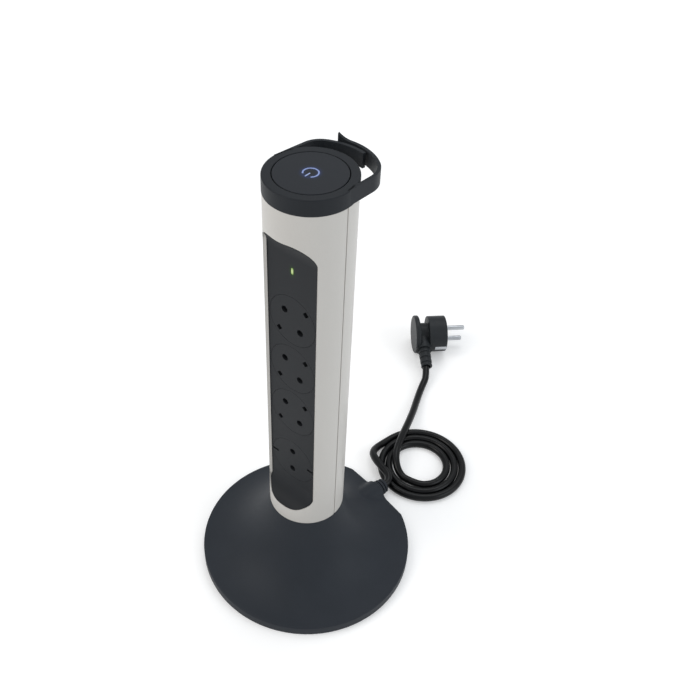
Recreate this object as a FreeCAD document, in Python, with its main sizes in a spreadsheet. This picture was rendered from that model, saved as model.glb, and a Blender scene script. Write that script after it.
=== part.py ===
import FreeCAD, Part
import math
import os
import re

from FreeCAD import Placement, Rotation, Vector

# Tower extension lead with four sockets, standing on a weighted round base.
# Millimetres, +Z up. The origin is on the floor, on the axis of the column.
# The sockets face -Y. The mains cord leaves the base at the rear.

os.makedirs("parts", exist_ok=True)
doc = FreeCAD.newDocument("TowerExtensionLead")

# Driving dimensions
SIZES = {
    # Base cover, a bell with a flat cut at its rear
    "base_radius": 86.2,
    "base_lift": 0.8,
    "rim_height": 8.7,
    "rim_slope": 11.3,
    "rim_round": 1.0,
    "dome_top": 68.0,
    "base_wall": 2.6,
    "land_depth": 6.0,
    "rear_cut_depth": 6.2,
    "cord_turn": 10.0,
    "nub_radius": 10.6,
    "nub_height": 8.4,
    "nub_reach": 34.0,
    "nub_blend": 6.0,
    # Base plate, weight, feet and their screws
    "plate_thick": 2.5,
    "plate_gap": 0.3,
    "weight_inset": 16.2,
    "weight_inner": 32.0,
    "weight_thick": 4.6,
    "weight_slot": 27.0,
    "foot_radius": 7.0,
    "foot_inset": 26.2,
    "boss_radius": 4.0,
    "post_tip": 0.6,
    "post_inset": 1.0,
    "base_screw_inset": 10.2,
    "base_screw_radius": 1.5,
    "base_screw_head": 3.0,
    "base_head_thick": 1.4,
    "base_screw_tip": 1.2,
    # Clearances of screws, of faces that don't touch and of close ones, and how far a tool stands out
    "screw_gap": 0.1,
    "seat_gap": 0.1,
    "close_gap": 0.05,
    "over": 1.0,
    # Cord, gland and clamp
    "cord_radius": 3.4,
    "cord_gap": 0.1,
    "gland_height": 10.5,
    "gland_radius": 7.4,
    "gland_neck": 5.2,
    "gland_rib": 2.0,
    "gland_groove": 1.0,
    "gland_flange_step": 0.6,
    "gland_flange_thick": 2.0,
    "gland_taper": 0.5,
    "clamp_inset": 24.0,
    "clamp_width": 22.0,
    "clamp_length": 8.0,
    "clamp_height": 5.0,
    "clamp_screw_space": 8.0,
    "clamp_screw_radius": 1.3,
    "clamp_head_radius": 2.4,
    "clamp_head_thick": 1.2,
    "clamp_grip": 5.0,
    "clamp_post_radius": 2.6,
    "lead_place": 7.0,
    "lead_bend": 34.0,
    "lead_rise": 12.0,
    # Column shells, window and the spaces above and below it
    "shell_margin": 9.5,
    "shell_wall": 2.2,
    "window_lift": 13.5,
    "window_side": 3.0,
    "head_space": 22.3,
    "seam_step": 0.5,
    "window_corner": 16.5,
    "window_slack": 0.05,
    "window_round": 0.4,
    "shell_boss_place": 22.3,
    "shell_boss_radius": 3.2,
    "shell_boss_reach": 9.0,
    "shell_boss_gap": 0.15,
    "rear_boss_step": 0.5,
    "web_half": 1.2,
    "shell_pilot_end": 1.5,
    "shell_screw_end": 3.0,
    "shell_boss_lift": 5.5,
    "shell_boss_drop": 12.9,
    "shell_screw_radius": 1.4,
    "shell_head_radius": 2.6,
    "shell_head_thick": 2.0,
    "ledge_reach": 4.0,
    "ledge_width": 6.0,
    "ledge_height": 4.0,
    "ledge_drop": 11.8,
    "snap_width": 7.0,
    "snap_height": 3.0,
    "snap_depth": 1.0,
    "snap_gap": 0.2,
    "snap_drop": 3.6,
    # Column foot and its lock ring
    "spigot_inset": 5.5,
    "lock_overlap": 2.9,
    "lock_screw_inset": 2.7,
    "lock_screw_wall": 2.5,
    "foot_collar": 5.8,
    "lock_thick": 3.4,
    "lock_screw_radius": 1.5,
    "lock_screw_length": 14.0,
    "lock_head_radius": 2.3,
    "lock_head_thick": 1.5,
    # Fit between the inner parts and the shells
    "inner_gap": 0.15,
    # Socket panel
    "panel_face": 16.5,
    "panel_thick": 2.6,
    "panel_margin": 19.0,
    "panel_overlap": 6.5,
    "ramp_radius": 20.6,
    # Sockets, numbered from the top
    "socket_lift": 42.5,
    "last_space": 12.7,
    "disc_space": 3.7,
    "panel_space": 70.6,
    "fill_gap": 0.15,
    "fill_inset": 1.95,
    "fill_drop": 0.25,
    "disc_radius": 19.7,
    "disc_gap": 0.2,
    "disc_thick": 3.0,
    "disc_skirt": 2.8,
    "disc_skirt_wall": 1.3,
    "pin_space": 19.0,
    "pin_hole": 2.6,
    "notch_inset": 3.4,
    "notch_size": 3.6,
    "slot_width": 2.0,
    "slot_length": 5.4,
    "hub_radius": 5.4,
    "hub_bore": 4.2,
    "hub_flange": 0.6,
    "shutter_thick": 1.2,
    "shutter_gap": 0.2,
    "shutter_fit": 0.1,
    "shutter_ring": 7.4,
    "shutter_reach": 12.6,
    "shutter_span": 38.0,
    # Socket carrier behind the panel
    "carrier_margin": 2.3,
    "carrier_low": 25.0,
    "carrier_high": 28.7,
    "carrier_side": 1.6,
    "carrier_back": 12.0,
    "carrier_wall": 3.0,
    "carrier_floor": 3.0,
    "cover_thick": 1.6,
    "well_gap": 0.25,
    "spring_pocket": 4.3,
    "pocket_wall": 1.3,
    "pocket_depth": 4.5,
    "floor_hole": 3.0,
    "leg_place": 14.0,
    "leg_size": 4.0,
    "lug_place": 14.5,
    "lug_width": 5.5,
    "lug_depth": 6.6,
    "lug_height": 9.0,
    "lug_back": 2.5,
    "pocket_floor": 1.0,
    "tail_hole_depth": 4.0,
    # Contacts and bus bars
    "sleeve_radius": 3.2,
    "sleeve_bore": 2.5,
    "sleeve_length": 9.4,
    "strip_place": 8.6,
    "strip_width": 3.0,
    "strip_back": 8.0,
    "strip_thick": 1.0,
    "strip_end": 10.0,
    "bridge_width": 3.0,
    "earth_back": 3.2,
    "earth_place": 15.0,
    "earth_low": 17.0,
    "earth_tail": 1.5,
    "clip_size": 2.0,
    "clip_thin": 1.0,
    "clip_recess": 3.6,
    "slot_gap": 0.3,
    # Springs behind the discs
    "disc_spring_radius": 3.4,
    "disc_spring_wire": 0.9,
    "disc_spring_turns": 7,
    # Terminal block and wires
    "block_half": 12.6,
    "block_front": 1.0,
    "block_height": 11.0,
    "block_socket": 8.0,
    "terminal_screw_radius": 1.5,
    "terminal_screw_depth": 3.0,
    "terminal_screw_drop": 4.0,
    "wire_radius": 1.2,
    "core_space": 5.0,
    "core_close": 2.0,
    "core_back": 0.3,
    "core_straight": 1.5,
    "switch_wire_space": 4.0,
    "switch_wire_lift": 5.0,
    "switch_wire_back": 6.0,
    "switch_wire_drop": 21.0,
    "switch_wire_place": 5.0,
    "switch_wire_straight": 9.0,
    # Surge board and indicator
    "board_half": 18.0,
    "board_thick": 1.6,
    "board_front": 2.0,
    "board_height": 40.0,
    "board_lift": 1.0,
    "board_gap": 0.1,
    "arrester_space": 11.0,
    "arrester_radius": 5.0,
    "arrester_thick": 4.0,
    "arrester_lift": 26.0,
    "capacitor_half": 9.0,
    "capacitor_back": 6.0,
    "capacitor_low": 4.0,
    "capacitor_high": 14.0,
    "fuse_radius": 2.5,
    "fuse_length": 20.0,
    "fuse_back": 3.0,
    "fuse_lift": 22.0,
    "fuse_foot": 1.0,
    "fuse_foot_back": 2.0,
    "led_rise": 41.0,
    "led_radius": 2.2,
    "led_length": 4.0,
    "light_width": 1.8,
    "light_length": 4.9,
    "light_gap": 0.1,
    "light_flange": 1.2,
    "light_depth": 10.3,
    "light_step": 1.5,
    # Cap ring and cable loop
    "cap_margin": 0.2,
    "cap_height": 11.2,
    "cap_round": 0.8,
    "spigot_depth": 9.2,
    "guide_margin": 0.95,
    "guide_step": 12.2,
    "loop_thick": 2.2,
    "loop_lift": 0.8,
    "loop_inset": 1.2,
    "loop_heading": 87.0,
    "loop_side": 20.5,
    "loop_corner": 16.9,
    "loop_corner_turn": 53.0,
    "loop_back": 36.9,
    "loop_back_turn": 60.0,
    "tail_place": 180.0,
    "tail_heading": 81.2,
    "tail_straight": 23.7,
    "tail_corner": 14.2,
    "tail_corner_turn": 53.6,
    "tail_back": 40.6,
    "tail_back_turn": 39.1,
    "fin_radius": 12.6,
    "fin_length": 9.0,
    # Push button, its switch and its spring
    "button_inset": 6.45,
    "button_gap": 0.5,
    "button_thick": 3.0,
    "button_round": 0.4,
    "button_skirt": 1.5,
    "button_flange": 1.0,
    "button_flange_thick": 1.5,
    "button_depth": 14.4,
    "button_travel": 2.6,
    "button_stem": 5.0,
    "stem_length": 8.2,
    "symbol_radius": 5.3,
    "symbol_line": 1.0,
    "symbol_gap": 78.0,
    "symbol_depth": 1.5,
    "bar_start": 0.6,
    "bracket_thick": 2.5,
    "switch_half": 8.0,
    "switch_flange_half": 9.5,
    "switch_flange_thick": 1.0,
    "switch_height": 14.0,
    "switch_drop": 6.2,
    "switch_gap": 0.15,
    "plunger_radius": 4.0,
    "plunger_gap": 0.1,
    "plunger_depth": 3.0,
    "plunger_room": 0.4,
    "button_spring_radius": 6.4,
    "button_spring_wire": 1.1,
    "button_spring_turns": 5,
    "ring_board_radius": 17.0,
    "ring_board_bore": 11.8,
    "ring_board_thick": 1.2,
    "ring_board_lift": 1.4,
    "ring_post_circle": 15.0,
    "ring_post_radius": 1.2,
    "ring_lamp_circle": 14.4,
    "ring_lamp_radius": 1.4,
    "ring_lamp_height": 1.2,
    "ring_lamp_sink": 0.2,
    # Mains plug
    "plug_body_radius": 18.4,
    "plug_body_length": 18.0,
    "plug_neck_radius": 11.5,
    "plug_neck_length": 9.0,
    "plug_disc_radius": 19.5,
    "plug_disc_thick": 5.0,
    "plug_disc_round": 1.6,
    "plug_wall": 2.4,
    "plug_insert_thick": 3.0,
    "insert_wall": 1.2,
    "insert_step": 2.0,
    "plug_pin_radius": 2.4,
    "plug_pin_length": 19.0,
    "plug_pin_root": 11.0,
    "plug_root_radius": 1.8,
    "plug_pin_round": 1.6,
    "plug_clip_width": 5.0,
    "plug_clip_thick": 0.8,
    "plug_clip_length": 12.0,
    "boot_radius": 6.3,
    "boot_housing": 8.4,
    "boot_housing_end": 20.0,
    "boot_place": 23.5,
    "boot_start": 12.0,
    "boot_end": 40.0,
    "boot_groove": 1.2,
    "boot_pitch": 6.0,
    "boot_groove_width": 1.9,
    "boot_groove_start": 2.2,
    "plug_aside": -71.65,
    "plug_away": 192.65,
    "plug_heading": 45.0,
    "plug_roll": 14.0,
    # Coil of the mains cord, placed from the end of the gland
    "coil_aside": 4.95,
    "coil_away": 45.85,
    "coil_radius": 43.4,
    "coil_pitch": 7.25,
    "coil_turns": 2.75,
    "coil_start": 195.0,
    "coil_tighten": 2.4,
    "coil_tighten_turns": 0.5,
    "coil_straight": 6.8,
    "start_straight": 7.8,
    "coil_entry": 6.4,
    "boot_straight": 10.0,
}

# Sizes that follow from the driving ones, from the base upwards
FOLLOWING = {
    "column_radius": "disc_radius + shell_margin",
    "rear_flat": "base_radius - rear_cut_depth",
    "nub_start": "rear_flat - nub_reach",
    "weight_outer": "base_radius - weight_inset",
    "foot_circle": "base_radius - foot_inset",
    "base_screw_circle": "base_radius - base_screw_inset",
    "clamp_place": "rear_flat - clamp_inset",
    "gland_flange": "gland_neck + gland_flange_step",
    "lead_top": "dome_top + lead_rise",
    "foot_spigot": "column_radius - spigot_inset",
    "lock_radius": "foot_spigot + lock_overlap",
    "lock_screw_circle": "foot_spigot - lock_screw_inset",
    "foot_bore": "lock_screw_circle - lock_screw_wall",
    "window_half": "disc_radius + window_side",
    "window_bottom": "dome_top + window_lift",
    "socket_4": "window_bottom + socket_lift",
    "socket_3": "socket_4 + 2 * disc_radius + last_space",
    "socket_2": "socket_3 + 2 * disc_radius + disc_space",
    "socket_1": "socket_2 + 2 * disc_radius + disc_space",
    "window_angle": "2 * asin(window_half / column_radius) / (1 deg) - window_slack",
    "window_top": "socket_1 + panel_space",
    "fill_corner": "window_corner - fill_gap",
    "column_top": "window_top + head_space",
    "shell_boss_low": "window_bottom + shell_boss_lift",
    "shell_boss_high": "window_top - shell_boss_drop",
    "notch_place": "disc_radius - notch_inset",
    "slot_start": "disc_radius - slot_length",
    "carrier_half": "disc_radius + carrier_margin",
    "led_height": "socket_1 + led_rise",
    "cap_radius": "column_radius + cap_margin",
    "cap_top": "column_top + cap_height",
    "button_radius": "cap_radius - button_inset",
    "button_hole": "button_radius + button_gap",
    "guide_bore": "button_hole + guide_margin",
    "loop_root": "cap_radius - loop_inset",
    "switch_top": "column_top - switch_drop",
    "switch_low": "switch_top - switch_height",
}
NAMES = {*SIZES, *FOLLOWING}

sheet = doc.addObject("Spreadsheet::Sheet", "Sizes")
rows = {**SIZES, **{alias: f"={text}" for alias, text in FOLLOWING.items()}}
for row, (alias, content) in enumerate(rows.items(), start=1):
    sheet.set(f"A{row}", alias)
    sheet.set(f"B{row}", str(content))
    sheet.setAlias(f"B{row}", alias)
doc.recompute()

WORD = re.compile(r"[a-z][a-z0-9_]*")
UP = Vector(0, 0, 1)
ALONG = {
    "x": Rotation(Vector(0, 1, 0), 90),
    "y": Rotation(Vector(1, 0, 0), -90),
    "z": Rotation(),
}
pieces = []


def size(alias):
    """Read one driving dimension back from the sheet."""
    return float(sheet.get(alias))


def bind(item, name, text):
    """Tie a property to an expression written with the sheet's plain names."""
    full = WORD.sub(lambda word: f"Sizes.{word[0]}" if word[0] in NAMES else word[0], text)
    item.setExpression(name, full)


def move(item, at, turn=None):
    """Set an object's turn, and tie its place to three expressions."""
    item.Placement = Placement(Vector(), turn or Rotation())
    for axis, text in zip("xyz", at):
        if text != "0":
            bind(item, f"Placement.Base.{axis}", text)


def cylinder(name, radius, length, at=("0", "0", "0"), along="z"):
    """Make a cylinder that starts at a point and runs along an axis."""
    item = doc.addObject("Part::Cylinder", name)
    bind(item, "Radius", radius)
    bind(item, "Height", length)
    move(item, at, ALONG[along])
    return item


def box(name, x, y, z):
    """Make a box from a low and a high expression on each axis."""
    item = doc.addObject("Part::Box", name)
    for side, (low, high) in zip(("Length", "Width", "Height"), (x, y, z)):
        bind(item, side, f"({high}) - ({low})")
    move(item, (x[0], y[0], z[0]))
    return item


def about(half):
    """Give the low and high expressions of a span centred on zero."""
    return f"-({half})", half


def join(name, *items):
    """Join solids into one."""
    item = doc.addObject("Part::MultiFuse", name)
    item.Shapes = list(items)
    item.Refine = True
    return item


def cut(name, base, *tools):
    """Cut every tool out of a solid."""
    item = doc.addObject("Part::Cut", name)
    item.Base = base
    item.Tool = tools[0] if len(tools) == 1 else join(f"{name}_tools", *tools)
    item.Refine = True
    return item


def common(name, *items):
    """Keep what all the solids share."""
    item = doc.addObject("Part::MultiCommon", name)
    item.Shapes = list(items)
    item.Refine = True
    return item


def group(name, items):
    """Hold several separate solids as one object."""
    item = doc.addObject("Part::Compound", name)
    item.Links = list(items)
    return item


def ring(name, outer, inner, length, at=("0", "0", "0"), along="z"):
    """Make a tube from its two radii."""
    return cut(
        name,
        cylinder(f"{name}_outer", outer, length, at, along),
        cylinder(f"{name}_inner", inner, length, at, along),
    )


def rounded(name, item, radius, pick):
    """Round the edges of a solid that a test picks."""
    doc.recompute()
    fillet = doc.addObject("Part::Fillet", name)
    fillet.Base = item
    chosen = [n for n, edge in enumerate(item.Shape.Edges, start=1) if pick(edge)]
    fillet.Edges = [(n, size(radius), size(radius)) for n in chosen]
    return fillet


def shaped(name, shape):
    """Hold a shape that is worked out from the sheet in this file."""
    item = doc.addObject("Part::Feature", name)
    item.Shape = shape
    return item


def piece(label, item):
    """Name a finished sub-part."""
    item.Label = label
    pieces.append(item)
    return item


def polar(radius, angle):
    """Give x and y expressions for a place on a circle."""
    return f"{radius} * cos({angle} * 1 deg)", f"{radius} * sin({angle} * 1 deg)"


def turned(item):
    """Turn a part of the base to the side where the cord leaves."""
    item.Placement = Placement(Vector(), Rotation(UP, 0.001))
    bind(item, "Placement.Rotation.Angle", "-cord_turn * 1 deg")
    return item


# Base cover: the bell is a disc with a large torus taken off it
NECK = "(column_radius + 0.2)"
RISE = "(dome_top - rim_height)"
RUN = f"(base_radius - {NECK})"
DOME = (
    f"(({RUN} ^ 2 + {RISE} ^ 2) / (2 * ({RISE} * cos(rim_slope * 1 deg)"
    f" - {RUN} * sin(rim_slope * 1 deg))))"
)


def bell(name, radius, low, high, deeper):
    """Make the bell, or the same bell set in by a wall."""
    disc = cylinder(f"{name}_disc", radius, f"({high}) - ({low})", ("0", "0", low))
    hollow = doc.addObject("Part::Torus", f"{name}_hollow")
    bind(hollow, "Radius1", f"base_radius + {DOME} * sin(rim_slope * 1 deg)")
    bind(hollow, "Radius2", f"{DOME} + {deeper}")
    move(hollow, ("0", "0", f"rim_height + {DOME} * cos(rim_slope * 1 deg)"))
    return cut(name, disc, hollow)


def behind(name, distance):
    """Make a block that takes away all that lies past the rear flat."""
    return box(name, about("base_radius"), (distance, "base_radius + 20 * over"), ("-10 * over", "dome_top"))


def meets_nub(edge):
    """Pick the edge where the nub runs into the bell, in front of the rear flat."""
    span = edge.BoundBox
    return (
        span.YMin > size("nub_start") and span.YMax > size("rear_flat") - 0.1
        and size("nub_height") < span.ZMin and span.ZMax < size("nub_height") + size("nub_radius") + 0.1
        and span.YLength > size("nub_radius") and edge.Length > size("nub_radius") * 3
    )


def on_rim(edge):
    """Pick the upper edge of the rim, and the edges of the rear flat above the floor."""
    span = edge.BoundBox
    rim = span.ZLength < 0.1 and abs(span.ZMin - size("rim_height")) < 0.1
    flat = span.YLength < 0.02 and abs(span.YMin - size("rear_flat")) < 0.02
    return rim or flat and span.ZMax > size("base_lift") + 0.1


def base_cover():
    """Moulded cover of the base, with the nub that the cord leaves through."""
    outside = bell("cover_outside", "base_radius", "base_lift", "dome_top", "0")
    nub = cylinder("nub", "nub_radius", "rear_flat - nub_start", ("0", "nub_start", "nub_height"), "y")
    under = box("nub_under", about("nub_radius"), ("0", "base_radius"), ("-20 * over", "base_lift"))
    body = cut("cover_body", join("cover_with_nub", outside, nub), under, behind("rear_cut", "rear_flat"))
    body = rounded("nub_blended", body, "nub_blend", meets_nub)
    body = rounded("cover_rounded", body, "rim_round", on_rim)
    inside = bell("cover_inside", "base_radius - base_wall", "-over", "dome_top - land_depth", "base_wall")
    room = cut("cover_room", inside, behind("rear_room", "rear_flat - base_wall"))
    nub_room = cylinder(
        "nub_room", "nub_radius - base_wall", "rear_flat - base_wall - nub_start",
        ("0", "nub_start", "nub_height"), "y",
    )
    bore = cylinder(
        "gland_bore", "gland_neck + cord_gap", "base_wall * 3",
        ("0", "rear_flat - base_wall * 2", "gland_height"), "y",
    )
    neck = cylinder(
        "neck_bore", "foot_spigot + inner_gap", "land_depth * 2",
        ("0", "0", "dome_top - land_depth * 1.5"),
    )
    shell = cut("cover_shell", body, room, nub_room, bore, neck)
    posts = []
    holes = []
    for number in range(4):
        x, y = polar("base_screw_circle", 45 + 90 * number)
        bottom = "base_lift + plate_thick"
        posts.append(cylinder(f"cover_post_{number}", "boss_radius", "rim_height", (x, y, bottom)))
        holes.append(cylinder(
            f"cover_pilot_{number}", "base_screw_radius + screw_gap",
            "rim_height - base_lift - plate_thick - post_tip",
            (x, y, bottom),
        ))
    trimmed = common(
        "cover_posts", join("cover_post_set", *posts),
        bell("post_limit", "base_radius", "base_lift", "dome_top", "post_inset"),
    )
    body = cut("cover_with_posts", join("cover_joined", shell, trimmed), *holes)
    return piece("base_cover", turned(body))


def base_plate():
    """Flat plate that closes the base from below."""
    edge = "base_radius - base_wall - plate_gap"
    disc = cylinder("plate_disc", edge, "plate_thick", ("0", "0", "base_lift"))
    flat = behind("plate_flat", "rear_flat - base_wall - plate_gap")
    holes = []
    for number in range(4):
        x, y = polar("base_screw_circle", 45 + 90 * number)
        holes.append(cylinder(
            f"plate_hole_{number}", "base_screw_radius + screw_gap", "plate_thick * 3", (x, y, "0"),
        ))
        holes.append(cylinder(
            f"plate_sink_{number}", "base_screw_head + screw_gap", "base_head_thick", (x, y, "base_lift"),
        ))
    posts = []
    for side in (-1, 1):
        posts.append(cylinder(
            f"clamp_post_{side}", "clamp_post_radius",
            "gland_height - base_lift - plate_thick - 2 * seat_gap",
            (f"{side} * clamp_screw_space", "clamp_place", "base_lift + plate_thick"),
        ))
        holes.append(cylinder(
            f"clamp_pilot_{side}", "clamp_screw_radius + screw_gap", "gland_height - plate_thick",
            (f"{side} * clamp_screw_space", "clamp_place", "base_lift + plate_thick"),
        ))
    body = cut("plate_body", join("plate_with_posts", disc, *posts), flat, *holes)
    return piece("base_plate", turned(body))


def base_weight():
    """Steel plate that keeps the tower upright, slotted for the cord."""
    low = "base_lift + plate_thick"
    plate = ring("weight_ring", "weight_outer", "weight_inner", "weight_thick", ("0", "0", low))
    slot = box("weight_slot", about("weight_slot / 2"), ("0", "base_radius"), (low, f"{low} + weight_thick"))
    return piece("base_weight", turned(cut("weight_body", plate, slot)))


def rubber_feet():
    """Rubber pads under the base plate, six in a ring and one in the middle."""
    pads = []
    for number in range(6):
        x, y = polar("foot_circle", 60 * number)
        pads.append(cylinder(f"pad_{number}", "foot_radius", "base_lift", (x, y, "0")))
    pads.append(cylinder("pad_middle", "foot_radius", "base_lift"))
    return piece("rubber_feet", turned(group("pads", pads)))


def base_screws():
    """Four screws that hold the plate to the cover."""
    screws = []
    for number in range(4):
        x, y = polar("base_screw_circle", 45 + 90 * number)
        head = cylinder(f"base_head_{number}", "base_screw_head", "base_head_thick", (x, y, "base_lift"))
        shank = cylinder(
            f"base_shank_{number}", "base_screw_radius", "rim_height - base_lift - base_screw_tip",
            (x, y, "base_lift"),
        )
        screws.append(join(f"base_screw_{number}", head, shank))
    return piece("base_screws", turned(group("base_screw_set", screws)))


def cord_gland():
    """Ribbed grommet in the rear wall of the nub."""
    wall = "rear_flat - base_wall"
    parts = [
        cylinder("gland_flange", "gland_flange", "gland_flange_thick",
                 ("0", f"{wall} - gland_flange_thick - seat_gap", "gland_height"), "y"),
        cylinder(
            "gland_core", "gland_neck",
            "base_wall + gland_flange_thick + 3 * (gland_rib + gland_groove)",
            ("0", f"{wall} - gland_flange_thick", "gland_height"), "y",
        ),
    ]
    for number in range(3):
        start = f"rear_flat + seat_gap + {number} * (gland_rib + gland_groove)"
        parts.append(cylinder(
            f"gland_rib_{number}", f"gland_radius - {number} * gland_taper", "gland_rib",
            ("0", start, "gland_height"), "y",
        ))
    bore = cylinder(
        "gland_hole", "cord_radius + cord_gap", "40 * over",
        ("0", f"{wall} - 10 * over", "gland_height"), "y",
    )
    return piece("cord_gland", turned(cut("gland_body", join("gland_solid", *parts), bore)))


def cord_clamp():
    """Saddle that grips the cord inside the base, and its two screws."""
    low = "gland_height - seat_gap"
    y = ("clamp_place - clamp_length / 2", "clamp_place + clamp_length / 2")
    bar = box("clamp_bar", about("clamp_width / 2"), y, (low, "gland_height + clamp_height"))
    groove = cylinder("clamp_groove", "cord_radius + cord_gap", "clamp_length",
                      ("0", y[0], "gland_height"), "y")
    holes = []
    screws = []
    for side in (-1, 1):
        x = f"{side} * clamp_screw_space"
        holes.append(cylinder(f"clamp_hole_{side}", "clamp_screw_radius + screw_gap", "clamp_height * 2",
                              (x, "clamp_place", "gland_height - clamp_height / 2")))
        head = cylinder(f"clamp_head_{side}", "clamp_head_radius", "clamp_head_thick",
                        (x, "clamp_place", "gland_height + clamp_height"))
        shank = cylinder(f"clamp_shank_{side}", "clamp_screw_radius", "clamp_height + clamp_grip",
                         (x, "clamp_place", "gland_height - clamp_grip"))
        screws.append(join(f"clamp_screw_{side}", head, shank))
    piece("cord_clamp", turned(cut("clamp_body", bar, groove, *holes)))
    piece("clamp_screws", turned(group("clamp_screw_set", screws)))


BORE = "foot_bore"
SHELL_IN = "(column_radius - shell_wall)"
INSIDE = "(column_radius - shell_wall - inner_gap)"
SOCKETS = ((1, "socket_1", 135), (2, "socket_2", 135), (3, "socket_3", 135), (4, "socket_4", 90))


def spoke(name, angle, low, high, half, z):
    """Make a box that points away from the column's axis."""
    item = doc.addObject("Part::Box", name)
    bind(item, "Length", f"({high}) - ({low})")
    bind(item, "Width", f"2 * ({half})")
    bind(item, "Height", f"({z[1]}) - ({z[0]})")
    turn = f"({angle} * 1 deg)"
    move(item, (
        f"({low}) * cos{turn} + ({half}) * sin{turn}",
        f"({low}) * sin{turn} - ({half}) * cos{turn}",
        z[0],
    ), Rotation(UP, angle))
    return item


def key(name, middle, angle, low, high, half, y):
    """Make a box along Y that points away from the centre of a socket."""
    item = doc.addObject("Part::Box", name)
    bind(item, "Length", f"({high}) - ({low})")
    bind(item, "Width", f"({y[1]}) - ({y[0]})")
    bind(item, "Height", f"2 * ({half})")
    turn = f"({angle} * 1 deg)"
    move(item, (
        f"({low}) * cos{turn} + ({half}) * sin{turn}",
        y[0],
        f"{middle} + ({low}) * sin{turn} - ({half}) * cos{turn}",
    ), Rotation(Vector(0, 1, 0), -angle))
    return item


def column_foot():
    """Socket of the column on the base, its lock ring and three screws."""
    low = "dome_top - land_depth + seat_gap"
    collar = cylinder("foot_collar", INSIDE, "foot_collar", ("0", "0", "dome_top + close_gap"))
    spigot = cylinder("foot_spigot", "foot_spigot", "land_depth - seat_gap + close_gap", ("0", "0", low))
    bore = cylinder("foot_bore", BORE, "land_depth * 3", ("0", "0", "dome_top - land_depth * 1.5"))
    lock_top = "dome_top - land_depth - seat_gap"
    lock = ring("lock_ring", "lock_radius", BORE, "lock_thick", ("0", "0", f"{lock_top} - lock_thick"))
    pilots = []
    holes = []
    screws = []
    for number in range(3):
        x, y = polar("lock_screw_circle", 30 + 120 * number)
        start = f"{lock_top} - lock_thick"
        pilots.append(cylinder(
            f"foot_pilot_{number}", "lock_screw_radius + screw_gap", "lock_screw_length - lock_thick",
            (x, y, low),
        ))
        holes.append(cylinder(f"lock_hole_{number}", "lock_screw_radius + screw_gap", "lock_thick * 2",
                              (x, y, f"{start} - lock_thick / 2")))
        head = cylinder(
            f"lock_head_{number}", "lock_head_radius", "lock_head_thick",
            (x, y, f"{start} - lock_head_thick"),
        )
        shank = cylinder(
            f"lock_shank_{number}", "lock_screw_radius", "lock_screw_length - over",
            (x, y, f"{start} - over / 2"),
        )
        screws.append(join(f"lock_screw_{number}", head, shank))
    piece("column_foot", cut("foot_body", join("foot_solid", collar, spigot), bore, *pilots))
    piece("foot_lock_ring", cut("lock_body", lock, *holes))
    piece("foot_screws", group("foot_screw_set", screws))


def half_shell(name, side, ledges):
    """Make one half of the column with its screw bosses and ledge ribs."""
    tube = ring(f"{name}_tube", "column_radius", SHELL_IN, "column_top - dome_top", ("0", "0", "dome_top"))
    far = "column_radius + 5 * over"
    away = ("0", far) if side < 0 else (f"-({far})", "0")
    half = cut(f"{name}_half", tube, box(f"{name}_other", about(far), away, ("0", "column_top + over")))
    inner = []
    for number, (sign, height) in enumerate(
        ((-1, "shell_boss_low"), (1, "shell_boss_low"), (-1, "shell_boss_high"), (1, "shell_boss_high"))
    ):
        x = f"{sign} * shell_boss_place"
        radius = "shell_boss_radius" if side < 0 else "shell_boss_radius + rear_boss_step"
        reach = "shell_boss_reach" if side < 0 else "shell_boss_reach * 2"
        start = "-shell_boss_reach" if side < 0 else "shell_boss_gap"
        inner.append(cylinder(
            f"{name}_boss_{number}", radius, f"{reach} - shell_boss_gap", (x, start, height), "y",
        ))
        edge = (x, f"{sign} * column_radius") if sign > 0 else (f"{sign} * column_radius", x)
        inner.append(box(f"{name}_web_{number}", edge, (start, f"{start} + {reach} - shell_boss_gap"),
                         (f"{height} - web_half", f"{height} + web_half")))
    for number, angle in enumerate(ledges):
        low = "column_top - ledge_drop"
        inner.append(spoke(
            f"{name}_ledge_{number}", angle, f"{SHELL_IN} - ledge_reach", "column_radius",
            "ledge_width / 2", (f"{low} - ledge_height", low),
        ))
    limit = cylinder(f"{name}_limit", "column_radius - shell_wall / 2", "column_top", ("0", "0", "0"))
    return join(f"{name}_solid", half, common(f"{name}_inner", join(f"{name}_inner_set", *inner), limit))


def snap_lug(name, angle):
    """Make one of the cap's snap lugs."""
    high = "column_top - snap_drop"
    return spoke(
        name, angle, f"{INSIDE} - over", f"{SHELL_IN} + snap_depth - snap_gap", "snap_width / 2 - snap_gap",
        (f"{high} - snap_height", high),
    )


def snap_pocket(name, angle):
    """Make the pocket in a shell that takes a snap lug."""
    high = "column_top - snap_drop"
    return spoke(
        name, angle, "column_radius - shell_wall - 2 * over", f"{SHELL_IN} + snap_depth", "snap_width / 2",
        (f"{high} - snap_height - snap_gap", f"{high} + snap_gap"),
    )


def on_window(edge):
    """Pick the outer edges of the window."""
    span = edge.BoundBox
    middle = edge.valueAt((edge.FirstParameter + edge.LastParameter) / 2)
    inside = span.ZMin > size("window_bottom") - 1 and span.ZMax < size("window_top") + 1
    outer = math.hypot(middle.x, middle.y) > size("column_radius") - 0.1
    return inside and outer and span.YMax < -size("panel_face") + 0.5 and edge.Length > 8


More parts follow.
